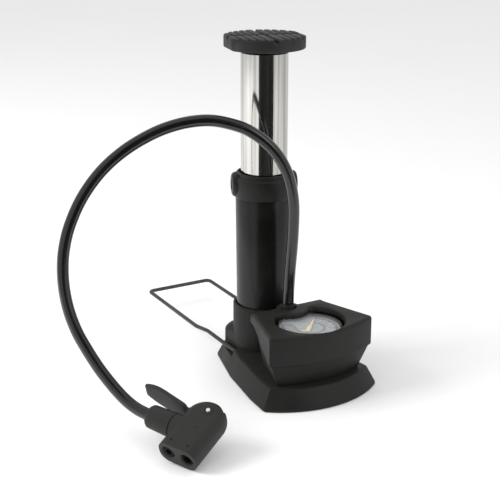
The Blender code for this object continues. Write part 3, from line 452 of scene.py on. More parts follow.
def moulded(name, dark, light, rough, grain=1500.0, depth=0.05, top=None, coat=0.0, gloss=0.3):
    """Moulded plastic or rubber: spark-eroded grain, a slow mottle and, given a top colour, a
    painted top light that makes upward faces paler.
    """
    made, tree, shader = start_material(name)
    slow = spread(tree, noise_at(tree, 45.0), 0.35, 0.65)
    fine = noise_at(tree, grain, detail=2.0)
    colour = blend_colours(tree, slow, dark, light)
    speck = spread(tree, fine, 0.55, 0.75, 0.0, 0.35)
    colour = blend_colours(tree, speck, colour, tuple(c * 1.9 for c in light))
    # Painted top light: faces that point up blend towards the top colour.
    if top:
        colour = blend_colours(tree, top_light_mask(tree), colour, top)
    uneven = spread(tree, slow, 0.0, 1.0, rough - 0.05, rough + 0.06)
    feed(shader, Base_Color=colour, Roughness=uneven, Specular_IOR_Level=gloss,
         Coat_Weight=coat, Coat_Roughness=0.12)
    ripple = noise_at(tree, 120.0, detail=1.0)
    bump(tree, shader, [(ripple, 0.25, 0.12), (fine, 0.55, depth)])
    return made


def metal(name, dark, light, rough, stretch=(1, 1, 1), scale=300.0, metallic=1.0):
    """Metal with drawn or turned streaks, which the stretch sets, and uneven gloss."""
    made, tree, shader = start_material(name, metallic)
    streaks = noise_at(tree, scale, stretch, detail=4.0)
    colour = blend_colours(tree, spread(tree, streaks, 0.38, 0.62), dark, light)
    uneven = spread(tree, noise_at(tree, 30.0), 0.35, 0.65, rough * 0.7, rough * 1.4)
    feed(shader, Base_Color=colour, Roughness=uneven)
    bump(tree, shader, [(streaks, 0.3, 0.01)])
    return made


def clear_plastic(name):
    """Clear plastic that lets the dial show, with faint scuffs."""
    made, tree, shader = start_material(name)
    scuffs = spread(tree, noise_at(tree, 260.0, (1, 4, 1)), 0.5, 0.8, 0.03, 0.09)
    tint = blend_colours(tree, noise_at(tree, 60.0), (0.50, 0.52, 0.54), (0.58, 0.60, 0.61))
    feed(shader, Roughness=scuffs, Base_Color=tint, Alpha=0.16, IOR=1.9)
    made.surface_render_method = "BLENDED"
    return made


def printed(name, first, second, rough=0.5):
    """Printed or painted surface with a little unevenness."""
    made, tree, shader = start_material(name)
    factor = spread(tree, noise_at(tree, 220.0), 0.35, 0.65)
    fine = noise_at(tree, 2600.0)
    feed(shader, Base_Color=blend_colours(tree, factor, first, second),
         Roughness=spread(tree, fine, 0.3, 0.7, rough - 0.06, rough + 0.06))
    bump(tree, shader, [(fine, 0.2, 0.01)])
    return made


def tread_rubber_pale_tops(name):
    """Tread rubber, dark in its grooves and paler in patches near its top."""
    made, tree, shader = start_material(name)
    top_z = node_size("pedal_tread")[1].z
    z = height_of(tree, add_node(tree, "TexCoord").outputs["Object"])
    height = spread(tree, z, (top_z - 1.3) * MM, (top_z - 0.1) * MM)
    patch_noise = noise_at(tree, 160.0, detail=6.0)
    patches = spread(tree, patch_noise, 0.38, 0.62, 0.15, 1.0)
    pale_top_mask = worked_out(tree, "MULTIPLY", height, patches)
    fine = noise_at(tree, 1700.0)
    grain = spread(tree, fine, 0.4, 0.6)
    plain = blend_colours(tree, grain, (0.006, 0.0063, 0.0056), (0.009, 0.0095, 0.0085))
    pale_top_colour = blend_colours(tree, grain, (0.026, 0.0275, 0.025), (0.055, 0.058, 0.052))
    feed(shader, Base_Color=blend_colours(tree, pale_top_mask, plain, pale_top_colour),
         Roughness=spread(tree, patches, 0.0, 1.0, 0.5, 0.72))
    bump(tree, shader, [(patch_noise, 0.3, 0.08), (fine, 0.5, 0.05)])
    return made


# Each top colour below is painted top light on the upward faces.
BLACK_PLASTIC = moulded("black_plastic", (0.0085, 0.009, 0.008), (0.0125, 0.013, 0.0115), 0.52,
                        top=(0.017, 0.0175, 0.0155), gloss=0.25)
HEAD_PLASTIC = moulded("head_plastic", (0.018, 0.0195, 0.0172), (0.024, 0.0255, 0.023), 0.50,
                       grain=1900.0, top=(0.022, 0.023, 0.021), gloss=0.25)
COLLAR_PLASTIC = moulded("collar_plastic", (0.006, 0.0064, 0.0056), (0.009, 0.0094, 0.0084),
                         0.42, top=(0.018, 0.0185, 0.0165), gloss=0.25)
BARREL_BLACK = moulded("barrel_black", (0.004, 0.0042, 0.0037), (0.006, 0.0062, 0.0055), 0.30,
                       grain=900.0, depth=0.008, coat=0.12, gloss=0.3)
HOSE_BLACK = moulded("hose_black", (0.004, 0.004, 0.0044), (0.006, 0.006, 0.007), 0.22,
                     grain=700.0, depth=0.012, coat=0.6, gloss=0.4)
RUBBER = moulded("black_rubber", (0.011, 0.0115, 0.0105), (0.016, 0.0165, 0.015), 0.66)
# Darker than the other rubber: painted shade for the dark valve holes that the gaskets sit in.
GASKET_SHADE_RUBBER = moulded("gasket_rubber_painted_shade", (0.003, 0.003, 0.003), (0.005, 0.005, 0.005), 0.6, gloss=0.15)
TREAD = tread_rubber_pale_tops("tread_rubber")
CHROME = metal("chrome", (0.37, 0.365, 0.345), (0.60, 0.59, 0.56), 0.10, (1, 1, 0.012), 420.0)
STEEL = metal("zinc_steel", (0.50, 0.50, 0.49), (0.62, 0.62, 0.61), 0.30, (1, 1, 0.2))
DARK_STEEL = metal("dark_steel", (0.050, 0.051, 0.048), (0.085, 0.086, 0.082), 0.40,
                   (0.05, 1, 1), 500.0, 0.65)
PLATE_STEEL = metal("plate_steel", (0.055, 0.055, 0.053), (0.075, 0.075, 0.072), 0.45,
                    (0.1, 1, 1), 260.0, 0.5)
PIN_BRIGHT = metal("bright_pin", (0.78, 0.78, 0.77), (0.90, 0.90, 0.89), 0.25, metallic=0.7)
BRASS = metal("turned_brass", (0.62, 0.46, 0.20), (0.76, 0.60, 0.32), 0.30, (1, 1, 6))
NYLON = moulded("natural_nylon", (0.62, 0.61, 0.56), (0.70, 0.69, 0.64), 0.45)
DIAL_WHITE = printed("dial_white", (0.33, 0.35, 0.355), (0.39, 0.41, 0.415))
DIAL_INK = printed("dial_ink", (0.05, 0.05, 0.055), (0.08, 0.08, 0.085))
DIAL_GREY = printed("dial_grey", (0.10, 0.11, 0.115), (0.15, 0.16, 0.165))
DIAL_PEACH = printed("dial_peach", (0.80, 0.50, 0.28), (0.86, 0.62, 0.40))
POINTER_CREAM = printed("pointer_cream", (0.80, 0.66, 0.36), (0.88, 0.76, 0.48), 0.4)
CLEAR = clear_plastic("clear_lens")


def finish_piece(made, look, body, slot, *nodes):
    """Give a piece its material and body, and hide the CAD nodes it stands for. The slot argument
    is not used.
    """
    WORKSHOP.objects.unlink(made)
    PIECES.objects.link(made)
    made.data.materials.clear()
    made.data.materials.append(look)
    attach(made, body)
    if nodes:
        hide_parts(*nodes)
    return made


def turned_piece(name, profile, look, slot, node, place=Matrix(), steps=48, body="base"):
    """A finished turned part that needs no cuts."""
    return finish_piece(settle(turned(name, profile, place, steps)), look, body, slot, node)


# ---- hose
# The same route as the CAD hose, in millimetres: up out of its socket, over and down to the head.
HOSE_ROUTE = [
    (30.7, 0, 50.3), (31.1, 0, 59), (32.3, 0.1, 73), (34, 0.2, 87), (35.6, 0, 100.5),
    (37.1, -0.8, 115.5), (37.5, -2.4, 126), (37.3, -4.9, 135.4), (36.6, -8.3, 143.6),
    (35.2, -12.8, 151), (33, -18.4, 157.6), (30.3, -25.4, 163.4), (27, -33.5, 168),
    (21.8, -46.8, 171.9), (17.4, -58.5, 172.2), (12.8, -71.3, 169.8), (8.6, -84.2, 164.9),
    (4.3, -99, 156.4), (1.2, -112.8, 145), (-0.1, -124.8, 130.6), (0.3, -133.6, 115),
    (2.3, -138.8, 101.4), (5.6, -141.6, 89.2), (10, -142.8, 77.8), (15.4, -142.6, 66.8),
    (22.3, -141.1, 56.4), (29.2, -138.6, 48), (34.4, -136.6, 42.3), (39.8, -134.4, 36.8),
    (45.7, -131.7, 31.4), (51.6, -129, 26.6), (57.8, -125.9, 22.3), (64.1, -122.5, 19.3),
    (70.7, -119, 17.8),
]
HOSE_R = 3.6
HOSE_POINTS = 180


def build_hose():
    made = poly_curve("hose_tube", smooth_route(HOSE_ROUTE, HOSE_POINTS), HOSE_R, 7)
    return finish_piece(made, HOSE_BLACK, "base", "hose_rubber", "hose")


# ---- plunger and barrel
FINE_STEPS = 128
RING_STEPS = 96
TUBE_WALL = 1.2
BARREL_BORE_R = 16.4
BARREL_TAPER = 0.9


def build_cylinder():
    low, high = node_size("chrome_tube")
    radius = high.x
    bore = radius - TUBE_WALL
    turned_piece("cylinder_tube", [
        (radius - 0.4, high.z), (radius, high.z - 0.4), (radius, low.z + 0.4),
        (radius - 0.4, low.z), (bore, low.z), (bore, high.z),
    ], CHROME, "chrome", "chrome_tube", steps=FINE_STEPS, body="plunger")


def build_barrel():
    low, high = node_size("barrel")
    top_r = high.x
    low_r = top_r - BARREL_TAPER
    turned_piece("barrel_tube", [
        (top_r - 0.3, high.z), (top_r, high.z - 0.5), (low_r, low.z + 0.4),
        (low_r - 0.4, low.z), (BARREL_BORE_R, low.z), (BARREL_BORE_R, high.z),
    ], BARREL_BLACK, "barrel_black", "barrel", steps=FINE_STEPS)


EAR_Z = 122.6
EAR_R = 8.2
EAR_REACH = 21.2
EAR_TURN = math.radians(-22.4)
SCREW_BORE_R = 1.65


def ear_axis(side):
    """A rotation that turns +Z along one ear's axis."""
    return along((-side * math.sin(EAR_TURN), side * math.cos(EAR_TURN), 0))


def build_collar():
    """Collar with a turned lip, a dark groove and a round ear for each screw."""
    low, high = node_size("barrel_collar")
    made = turned("collar_ring", [
        (16.9, high.z), (17.5, high.z - 0.1), (17.9, high.z - 0.6), (17.9, 128.7),
        (18.1, 128.2), (18.9, 127.9), (19.5, 127.4), (19.8, 126.6), (19.8, 116.1),
        (19.5, 115.4), (19.3, low.z), (18.9, low.z), (18.9, 126.7), (BARREL_BORE_R, 126.7),
        (BARREL_BORE_R, high.z - 0.2), (16.6, high.z),
    ], steps=RING_STEPS)
    core = rod("collar_core", (0, 0, 110), (0, 0, 126.9), 19.35, RING_STEPS)
    lip_core = rod("lip_core", (0, 0, 126), (0, 0, 135), 17.1, RING_STEPS)
    for side in (-1, 1):
        face = shift(z=EAR_Z) @ ear_axis(side)
        ear = turned(f"ear_{side}", [
            (0, EAR_REACH), (5.0, EAR_REACH), (6.3, EAR_REACH - 0.25), (7.2, EAR_REACH - 0.8),
            (7.9, EAR_REACH - 1.8), (EAR_R, EAR_REACH - 3.2), (EAR_R, 12.0), (0, 12.0),
        ], face)
        cut(ear, core, lip_core)
        recess = turned(f"ear_recess_{side}", [
            (0, 26.0), (3.9, 26.0), (3.9, EAR_REACH + 0.1), (3.2, EAR_REACH - 0.6), (3.2, 19.6),
            (SCREW_BORE_R, 19.6), (SCREW_BORE_R, 15.0), (0, 15.0),
        ], face, 36)
        join(made, ear)
        cut(made, recess)
    finish_piece(settle(made, 28), COLLAR_PLASTIC, "base", "black_plastic", "barrel_collar")


def build_collar_screws():
    """Screws with a cross recess, deep in the ears."""
    for i, side in enumerate((-1, 1), 1):
        face = shift(z=EAR_Z) @ ear_axis(side)
        made = turned(f"collar_screw_{i}_fine", [
            (0, 21.0), (1.6, 20.95), (2.4, 20.75), (2.7, 20.4), (2.7, 19.9), (1.3, 19.9),
            (1.3, 16.8), (0, 16.8),
        ], face, 32)
        for k, (x, y) in enumerate([(0.25, 1.5), (1.5, 0.25)]):
            cut(made, box(f"screw_slot_{i}_{k}", (-x, -y, 20.1), (x, y, 22.0), face))
        finish_piece(settle(made), DARK_STEEL, "base", "dark_steel", f"collar_screw_{i}")


def build_wiper():
    low, high = node_size("wiper_ring")
    turned_piece("wiper_lip", [
        (15.45, high.z), (15.8, high.z - 0.1), (16.1, high.z - 0.7), (16.1, low.z),
        (15.3, low.z), (15.3, high.z - 0.3),
    ], RUBBER, "black_rubber", "wiper_ring", steps=RING_STEPS)


# ---- pedal
PEDAL_R = 25.8
PEDAL_FLAT = 23.7
PEDAL_TURN = math.radians(-14.4)
CORE_POCKET_R = 21.7
CORE_POCKET_TOP_Z = 213.9
TREAD_GROOVES = (-19.6, -15.1, -10.7, -6.2, 6.2, 10.7, 15.1, 19.6)


def pedal_outline(radius, flat, steps=36):
    """A disc cut by two parallel flats."""
    edge = math.asin(flat / radius)
    return [on_circle(radius, side - edge + 2 * edge * k / steps)
            for side in (0.0, math.pi) for k in range(steps + 1)]


def build_tread():
    """One-piece rubber tread: a deep groove, a cross groove and fine ribs between grooves."""
    low, high = node_size("pedal_tread")
    turn = Matrix.Rotation(PEDAL_TURN, 4, "Z")
    full = pedal_outline(PEDAL_R, PEDAL_FLAT)
    top = high.z
    made = loft("tread_pad", stack(
        lambda distance: inset(full, distance), (1.1, low.z), (0.35, low.z + 0.3),
        (0.0, low.z + 1.0), (0.0, top - 0.9), (0.25, top - 0.3), (0.8, top)), turn)
    pocket = rod("core_pocket", (0, 0, 205), (0, 0, CORE_POCKET_TOP_Z), CORE_POCKET_R, 72)
    deep = loft("groove_along", v_groove(40, 1.35, 1.75, top - 2.6, top + 3), turn)
    across = loft("groove_across", v_groove(1.5, 40, 2.3, top - 1.9, top + 3, True), turn)
    cut(made, pocket, deep, across)
    for i, y in enumerate(TREAD_GROOVES):
        groove = v_groove(40, 0.7, 1.0, top - 1.2, top + 1, centre_y=y)
        cut(made, loft(f"tread_groove_{i}", groove, turn))
    finish_piece(settle(made, 30, 0.12), TREAD, "pedal", "black_rubber", "pedal_tread")


def v_groove(half_x, half_y, half_top, low_z, high_z, across=False, centre_y=0.0):
    """Sections of a groove cutter whose sides lean outward to the top."""
    top = (half_top, half_y) if across else (half_x, half_top)
    return [at_height(rectangle(-x, centre_y - y, x, centre_y + y), z)
            for x, y, z in ((half_x, half_y, low_z), (*top, high_z))]


# ---- outlines of the base
class Plan:
    """A plan outline, symmetric about X: a straight back, a side of corners on -Y and a front arc.

    Each corner is (x, y, radius). The last one is where the side meets the arc."""

    def __init__(self, side, centre_x, radius, steps=26):
        self.side = side
        self.centre_x = centre_x
        self.radius = radius
        self.steps = steps

    def outline(self, distance=0.0, least_x=-1000.0):
        """The outline moved inward by a distance, with nothing behind least_x."""
        corners = [Vector(corner[:2]) for corner in self.side]
        lines = []
        for start, end in zip(corners, corners[1:]):
            way = (end - start).normalized()
            lines.append((start + Vector((-way.y, way.x)) * distance, way))
        moved = [on_line_at_x(lines[0], corners[0].x + distance)]
        moved += [lines_meet(before, after) for before, after in zip(lines, lines[1:])]
        moved.append(line_meets_circle(lines[-1], self.centre_x, self.radius - distance))
        side = [
            (max(point.x, least_x), point.y, max(corner[2] - distance, 0.3) if corner[2] else 0)
            for point, corner in zip(moved, self.side)
        ]
        half = math.asin(-moved[-1].y / (self.radius - distance))
        front = [
            (*on_circle(self.radius - distance, half * (2 * k / self.steps - 1), self.centre_x), 0)
            for k in range(1, self.steps)
        ]
        return rounded(side + front + [(x, -y, r) for x, y, r in reversed(side)])


def on_line_at_x(line, x):
    point, way = line
    return point + way * ((x - point.x) / way.x)


def lines_meet(first, second):
    (p, u), (q, v) = first, second
    return p + u * ((q - p).cross(v) / u.cross(v))


def line_meets_circle(line, centre_x, radius):
    point, way = line
    from_centre = point - Vector((centre_x, 0))
    half = from_centre.dot(way)
    run = -half + math.sqrt(half * half - from_centre.length_squared + radius * radius)
    return point + way * run


FOOT = Plan([(-25.5, -12.0, 8), (-22.5, -23.5, 4), (15.0, -34.4, 0), (51.0, -40.5, 0),
             (70.4, -42.0, 3)], 19.5, 66.0)
BODY = Plan([(10.0, -15.0, 0), (31.6, -26.6, 0), (70.1, -38.0, 2)], -3.7, 83.0)
COVER = Plan([(28.0, -26.6, 0), (33.0, -27.0, 0), (70.1, -38.0, 2)], -3.7, 83.0)
CAVITY = Plan([(-16.0, -13.5, 0), (8.0, -13.5, 0), (14.0, -26.0, 0), (65.6, -33.5, 0)], 19.5,
              57.0, 12)
HUMP = [(-23.5, -20.1, 9), (0.0, -20.1, 0), (0.0, 20.1, 0), (-23.5, 20.1, 9)]
WELL_BACK_X = 31.0
SHELF_Z = 13.0
SHELF_UNDER_Z = 10.5
FOOT_SLOPE = 6.2
COVER_LOW_Z = 28.5
COVER_WALL = 2.2
SEAM_SLOPE_END_X = 66.0
SEAM_SLOPE = 0.347
FIT = 0.3
COLUMN_R = 20.2
COLUMN_TOP_Z = 42.0
COLUMN_FLOOR_Z = 14.0
COLUMN_BORE_R = 18.15
ROD_HOLE_R = 5.05
HOSE_WAY_R = 5.0
CASE_GAP_R = 20.7
BULGE_R = 13.2
POST_R = 3.2
COVER_POST_R = 2.9
LONG_SCREWS = [(63.0, -25.0), (63.0, 25.0)]
PLATE_SCREWS = [(-11.0, -9.5), (-11.0, 9.5)]
BAIL_PIVOT = Vector((1.5, 0.0, 10.5))
BAIL_WIRE_R = 1.35
BAIL_LEG_Y = 22.3
BAIL_WIDE_Y = 25.3
BAIL_REACH_X = -124.3
BAIL_BAR_Z = 13.8
SOCKET_X = 30.7
GAUGE_X = 56.0
OPENING_R = 21.8


def seam_z(x):
    """Height of the cover's lower edge, which climbs towards the column."""
    return COVER_LOW_Z + max(0.0, SEAM_SLOPE_END_X - max(x, 26.0)) * SEAM_SLOPE


def hump_outline(distance):
    moved = inset([corner[:2] for corner in HUMP], distance)
    return rounded([
        (x, y, max(corner[2] - distance, 0.4) if corner[2] else 0)
        for (x, y), corner in zip(moved, HUMP)
    ])


def add_posts(made, name, places, post_r, post_z, bore_r, bore_z):
    """Posts for screws, each with its bore."""
    for i, (x, y) in enumerate(places):
        join(made, rod(f"{name}_post_{i}", (x, y, post_z[0]), (x, y, post_z[1]), post_r, 24))
        cut(made, rod(f"{name}_bore_{i}", (x, y, bore_z[0]), (x, y, bore_z[1]), bore_r, 16))


# ---- base
def build_housing():
    """Foot skirt, tapered body, hump and column in one moulding with softened edges."""
    made = loft("housing_shell", stack(
        FOOT.outline, (0.5, 0.0), (0.1, 0.35), (0.0, 0.9), (0.25, 1.9),
        (FOOT_SLOPE - 1.0, SHELF_Z - 1.4), (FOOT_SLOPE - 0.45, SHELF_Z - 0.4),
        (FOOT_SLOPE + 0.3, SHELF_Z - 0.05), (FOOT_SLOPE + 0.9, SHELF_Z)))
    body = loft("body_block", stack(
        BODY.outline, (6.95, SHELF_Z - 1.0), (1.75, lambda x: seam_z(x) - FIT - 0.9),
        (1.5, lambda x: seam_z(x) - FIT - 0.3), (1.9, lambda x: seam_z(x) - FIT)))
    column = turned("column_block", [
        (0, COLUMN_TOP_Z), (COLUMN_R - 0.9, COLUMN_TOP_Z), (COLUMN_R - 0.25, COLUMN_TOP_Z - 0.25),
        (COLUMN_R, COLUMN_TOP_Z - 0.9), (COLUMN_R, SHELF_Z - 1.2), (0, SHELF_Z - 1.2),
    ], steps=RING_STEPS)
    hump = loft("hump_block", stack(
        hump_outline, (0.0, SHELF_Z - 0.9), (0.0, 19.0), (0.4, 20.4), (1.4, 21.6), (3.0, 23.1),
        (4.2, 23.7)))
    join(made, body, hump, column)
    recess = loft("plate_recess", stack(FOOT.outline, (3.6, -1.0), (3.6, 3.3)))
    cavity = loft("foot_cavity", stack(CAVITY.outline, (0.0, 1.0), (0.0, SHELF_UNDER_Z)))
    well = loft("gauge_well", stack(
        lambda distance: BODY.outline(distance, WELL_BACK_X), (9.5, SHELF_UNDER_Z - 2.0),
        (9.5, SHELF_Z - 1.0), (3.9, seam_z), (3.9, 52.0)))
    socket = turned("barrel_socket", [
        (0, 45.0), (19.2, 45.0), (18.75, COLUMN_TOP_Z - 0.1),
        (COLUMN_BORE_R, COLUMN_TOP_Z - 0.9), (COLUMN_BORE_R, COLUMN_FLOOR_Z), (0, COLUMN_FLOOR_Z),
    ], steps=RING_STEPS)
    rod_hole = rod("rod_hole", (0, 0, 5), (0, 0, 20), ROD_HOLE_R)
    hose_way = rod("hose_way", (SOCKET_X, 0, 8), (SOCKET_X, 0, 52), HOSE_WAY_R)
    cut(made, recess, cavity, well, socket, rod_hole, hose_way)
    add_posts(made, "long", LONG_SCREWS, POST_R, (3.3, 30.6), 1.7, (1, 33))
    add_posts(made, "short", PLATE_SCREWS, POST_R, (3.3, 11.6), 1.6, (1, 10.4))
    for side in (-1, 1):
        channel = box(f"bail_channel_{side}", (-40, min(side * 20.62, side * 40), 8.75),
                      (4.4, max(side * 20.62, side * 40), 30))
        pivot = rod(f"bail_pivot_{side}", (BAIL_PIVOT.x, side * 16.7, BAIL_PIVOT.z),
                    (BAIL_PIVOT.x, side * 22.0, BAIL_PIVOT.z), BAIL_WIRE_R + FIT, 32)
        cut(made, channel, pivot)
    finish_piece(settle(made, 28), BLACK_PLASTIC, "base", "black_plastic", "base_housing")


def gauge_opening(grow=0.0):
    """The dial's circle with a rounded bay where the cover bulges around the hose socket."""
    bulge_r = BULGE_R - grow
    opening_r = OPENING_R + grow
    gap = GAUGE_X - SOCKET_X
    meet_x = (gap * gap + bulge_r ** 2 - opening_r ** 2) / (2 * gap)
    meet_y = math.sqrt(bulge_r ** 2 - meet_x ** 2)
    cusp = math.pi - math.atan2(meet_y, gap - meet_x)
    bulge = math.atan2(meet_y, meet_x)
    blend = 0.16
    outer = 80
    circle = [on_circle(opening_r, (cusp - blend) * (2 * k / outer - 1), GAUGE_X)
              for k in range(outer + 1)]
    inner = 24
    bay = [on_circle(bulge_r, (bulge - blend) * (1 - 2 * k / inner), SOCKET_X)
           for k in range(1, inner)]
    corner = eased_cusp(circle[-1], on_circle(bulge_r, bulge - blend, SOCKET_X))
    return circle + corner + bay + [(x, -y) for x, y in reversed(corner)]


def eased_cusp(start, end, steps=8):
    """Points that round the cusp between the dial's circle and the socket's bulge."""
    start = Vector(start)
    end = Vector(end)
    middle = (start + end) / 2
    away = Vector((middle.x - GAUGE_X, middle.y)).normalized()
    peak = middle + away * (end - start).length * 0.32
    return [tuple(start * (1 - t) ** 2 + peak * 2 * t * (1 - t) + end * t * t)
            for t in (k / steps for k in range(1, steps + 1))]


def build_cover():
    """Gauge cover with a rounded top edge and a dished opening that bends round the hose."""
    top = node_size("gauge_cover")[1].z
    made = loft("cover_shell", stack(
        COVER.outline, (0.35, seam_z), (0.05, lambda x: seam_z(x) + 0.35),
        (0.0, lambda x: seam_z(x) + 0.9), (0.0, top - 2.2), (0.12, top - 1.4), (0.5, top - 0.7),
        (1.1, top - 0.22), (2.0, top)))
    inside = loft("cover_inside", stack(
        COVER.outline, (COVER_WALL, lambda x: seam_z(x) - 2.0), (COVER_WALL, top - 3.0)))
    boss = turned("socket_boss", [
        (0, top - 0.05), (7.0, top - 0.05), (7.6, top - 0.3), (8.0, top - 0.9), (8.0, 42.4),
        (0, 42.4),
    ], shift(SOCKET_X), 72)
    case_gap = rod("case_gap", (GAUGE_X, 0, 30), (GAUGE_X, 0, 44.45), CASE_GAP_R, RING_STEPS)
    flange_hole = rod("flange_hole", (SOCKET_X, 0, 40), (SOCKET_X, 0, 44.4), 4.9)
    opening = loft("gauge_opening", stack(
        gauge_opening, (0.0, 40.0), (0.0, top - 2.2), (0.25, top - 1.2), (0.7, top - 0.5),
        (1.3, top - 0.1), (1.8, top + 0.1)))
    hose_hole = turned("hose_hole", [
        (0, 50.0), (6.2, 50.0), (5.6, top - 0.05), (4.7, top - 0.5), (4.3, top - 1.2),
        (4.3, 40.0), (0, 40.0),
    ], shift(SOCKET_X))
    cut(made, inside)
    join(made, boss)
    cut(made, case_gap, flange_hole, opening, hose_hole)
    add_posts(made, "cover", LONG_SCREWS, COVER_POST_R, (32.7, 45.0), SCREW_BORE_R, (30.0, 40.0))
    finish_piece(settle(made, 28), BLACK_PLASTIC, "base", "black_plastic", "gauge_cover")


def build_ferrule():
    low, high = node_size("hose_ferrule")
    turned_piece("ferrule_ring", [
        (3.3, high.z), (3.75, high.z - 0.15), (4.0, high.z - 0.6), (4.0, 44.1), (4.6, 44.1),
        (4.6, low.z), (2.7, low.z), (2.7, high.z),
    ], BLACK_PLASTIC, "black_plastic", "hose_ferrule", shift(SOCKET_X))


# ---- gauge
DIAL_TOP = 42.0
PRINT_T = 0.04
PRINT_Z = DIAL_TOP + 0.01
SCALE_START = math.radians(135.0)
SCALE_SWEEP = math.radians(270.0)
SCALE_R = 17.6
INNER_R = 8.9


def build_gauge():
    low, high = node_size("gauge_case")
    r = (high.x - low.x) / 2
    turned_piece("gauge_bezel", [
        (r - 0.5, high.z), (r, high.z - 0.4), (r, low.z + 0.5), (r - 0.5, low.z), (3.3, low.z),
        (3.3, low.z + 0.8), (r - 0.8, low.z + 0.8), (r - 0.8, high.z - 0.15),
    ], DARK_STEEL, "steel", "gauge_case", shift(GAUGE_X), RING_STEPS)
    turned_piece("dial_plate", [
        (19.2, DIAL_TOP - 0.1), (19.2, 41.4), (1.3, 41.4), (1.3, DIAL_TOP), (19.1, DIAL_TOP),
    ], DIAL_WHITE, "dial_face", "gauge_dial", shift(GAUGE_X), RING_STEPS)
    turned_piece("lens_disc", [
        (0, high.z), (10.0, high.z - 0.03), (16.5, high.z - 0.12), (18.7, high.z - 0.3),
        (19.3, high.z - 0.7), (19.3, 43.0), (0, 43.0),
    ], CLEAR, "clear_lens", "gauge_lens", shift(GAUGE_X), RING_STEPS)


def polar(radius, angle):
    return Vector(on_circle(radius, angle, GAUGE_X))


def print_shape(name, outlines, look):
    """Thin printed shapes that stand just proud of the dial."""
    shape = bmesh.new()
    for outline in outlines:
        add_loft(shape, [at_height(outline, PRINT_Z), at_height(outline, PRINT_Z + PRINT_T)])
    finish_piece(solid(shape, name), look, "base", "dial_face")


def arc_band(inner, outer, start, sweep, steps=60):
    """A flat band along an arc of the dial, going clockwise from its start."""
    angles = [start - sweep * k / steps for k in range(steps + 1)]
    outline = [tuple(polar(outer, a)) for a in reversed(angles)]
    return outline + [tuple(polar(inner, a)) for a in angles]


def tick(radius_in, radius_out, angle, width):
    way = Vector(on_circle(1.0, angle))
    side = Vector((-way.y, way.x)) * width / 2
    near = polar(radius_in, angle)
    far = polar(radius_out, angle)
    return [tuple(near - side), tuple(far - side), tuple(far + side), tuple(near + side)]


def build_dial_print():
    """Two scales of ticks, their arcs, a warm band and small numbers."""
    divisions = 70
    outer = []
    for k in range(divisions + 1):
        a = SCALE_START - SCALE_SWEEP * k / divisions
        long = k % 10 == 0
        middle = k % 5 == 0
        reach = 3.0 if long else (2.3 if middle else 1.5)
        outer.append(tick(SCALE_R - reach, SCALE_R, a, 0.95 if long else 0.62))
    print_shape("dial_ticks", outer, DIAL_INK)
    grey = [arc_band(SCALE_R, SCALE_R + 0.4, SCALE_START, SCALE_SWEEP),
            arc_band(INNER_R - 0.4, INNER_R, SCALE_START, SCALE_SWEEP)]
    count = 50
    for k in range(count + 1):
        a = SCALE_START - SCALE_SWEEP * k / count
        grey.append(tick(INNER_R, 10.2 if k % 5 else 11.0, a, 0.5))
    print_shape("dial_inner_scale", grey, DIAL_GREY)
    band = [arc_band(5.2, 7.6, math.radians(-28), math.radians(52), 16)]
    print_shape("dial_band", band, DIAL_PEACH)
    for k in range(8):
        a = SCALE_START - SCALE_SWEEP * k / 7
        number(f"dial_number_{k}", str(k * 2), 12.6, a, 3.3)


def number(name, text, radius, angle, size):
    """A generic number that stands upright for a reader at the front."""
    curve = bpy.data.curves.new(name, "FONT")
    curve.body = text
    curve.size = size * MM
    curve.align_x = "CENTER"
    curve.align_y = "CENTER"
    curve.extrude = PRINT_T / 2 * MM
    guide = bpy.data.objects.new(name + "_text", curve)
    bpy.context.scene.collection.objects.link(guide)
    graph = bpy.context.evaluated_depsgraph_get()
    mesh = bpy.data.meshes.new_from_object(guide.evaluated_get(graph))
    bpy.data.objects.remove(guide)
    place = polar(radius, angle)
    mesh.transform(shift(*place, DIAL_TOP + 0.035) @ Matrix.Rotation(math.radians(90.0), 4, "Z"))
    finish_piece(add_object(name, mesh), DIAL_INK, "base", "dial_face")


def build_needle_hub():
    """Cap over the pointer's arbor."""
    made = turned("needle_hub", [
        (0, 42.98), (0.8, 42.95), (1.3, 42.88), (1.5, 42.78), (0, 42.78),
    ], shift(GAUGE_X), 32)
    finish_piece(settle(made), POINTER_CREAM, "pointer", "pointer_paint")


# ---- bail
def build_bail():
    """Wire loop whose legs step outward, hooked into the base at both ends."""
    low = BAIL_PIVOT.z
    side = [
        (BAIL_PIVOT.x, -17.0, low), (BAIL_PIVOT.x, -BAIL_LEG_Y, low),
        (-38.0, -BAIL_LEG_Y, low + 1.0), (-49.0, -BAIL_WIDE_Y, low + 1.3),
        (BAIL_REACH_X, -BAIL_WIDE_Y, BAIL_BAR_Z),
    ]
    other = [(x, -y, z) for x, y, z in reversed(side)]
    radii = [1.6, 5.0, 5.0, 3.6]
    made = poly_curve("bail_wire", fillet(side + other, radii + radii[::-1]), BAIL_WIRE_R, 6)
    finish_piece(made, DARK_STEEL, "bail", "dark_steel", "foot_bail")


# ---- valve head
HEAD_AT = Vector((94.4, -93.0, 19.3))
HEAD_TO_HOSE = Vector((-0.8844, -0.4552, 0.1030))
HEAD_TO_HOLES = Vector((0.3905, -0.8426, -0.3708))
HEAD_HALF_W = 12.5
HEAD_HALF_T = 7.3
HEAD_END = 31.0
DOME_Y = 3.5
HOLE_SPACING = 12.4
NECK_V = 13.2
NECK_R = 7.5
NECK_SEAM = 14.2
NECK_END = 32.0
PIN_H = -1.0


def head_frame():
    """The head's own axes: x to the hose, y to the valve holes, z up through its flat side."""
    x = HEAD_TO_HOSE.normalized()
    y = (HEAD_TO_HOLES - HEAD_TO_HOLES.project(x)).normalized()
    z = x.cross(y)
    matrix = Matrix((x, y, z)).transposed().to_4x4()
    return Matrix.Translation(HEAD_AT * MM) @ matrix


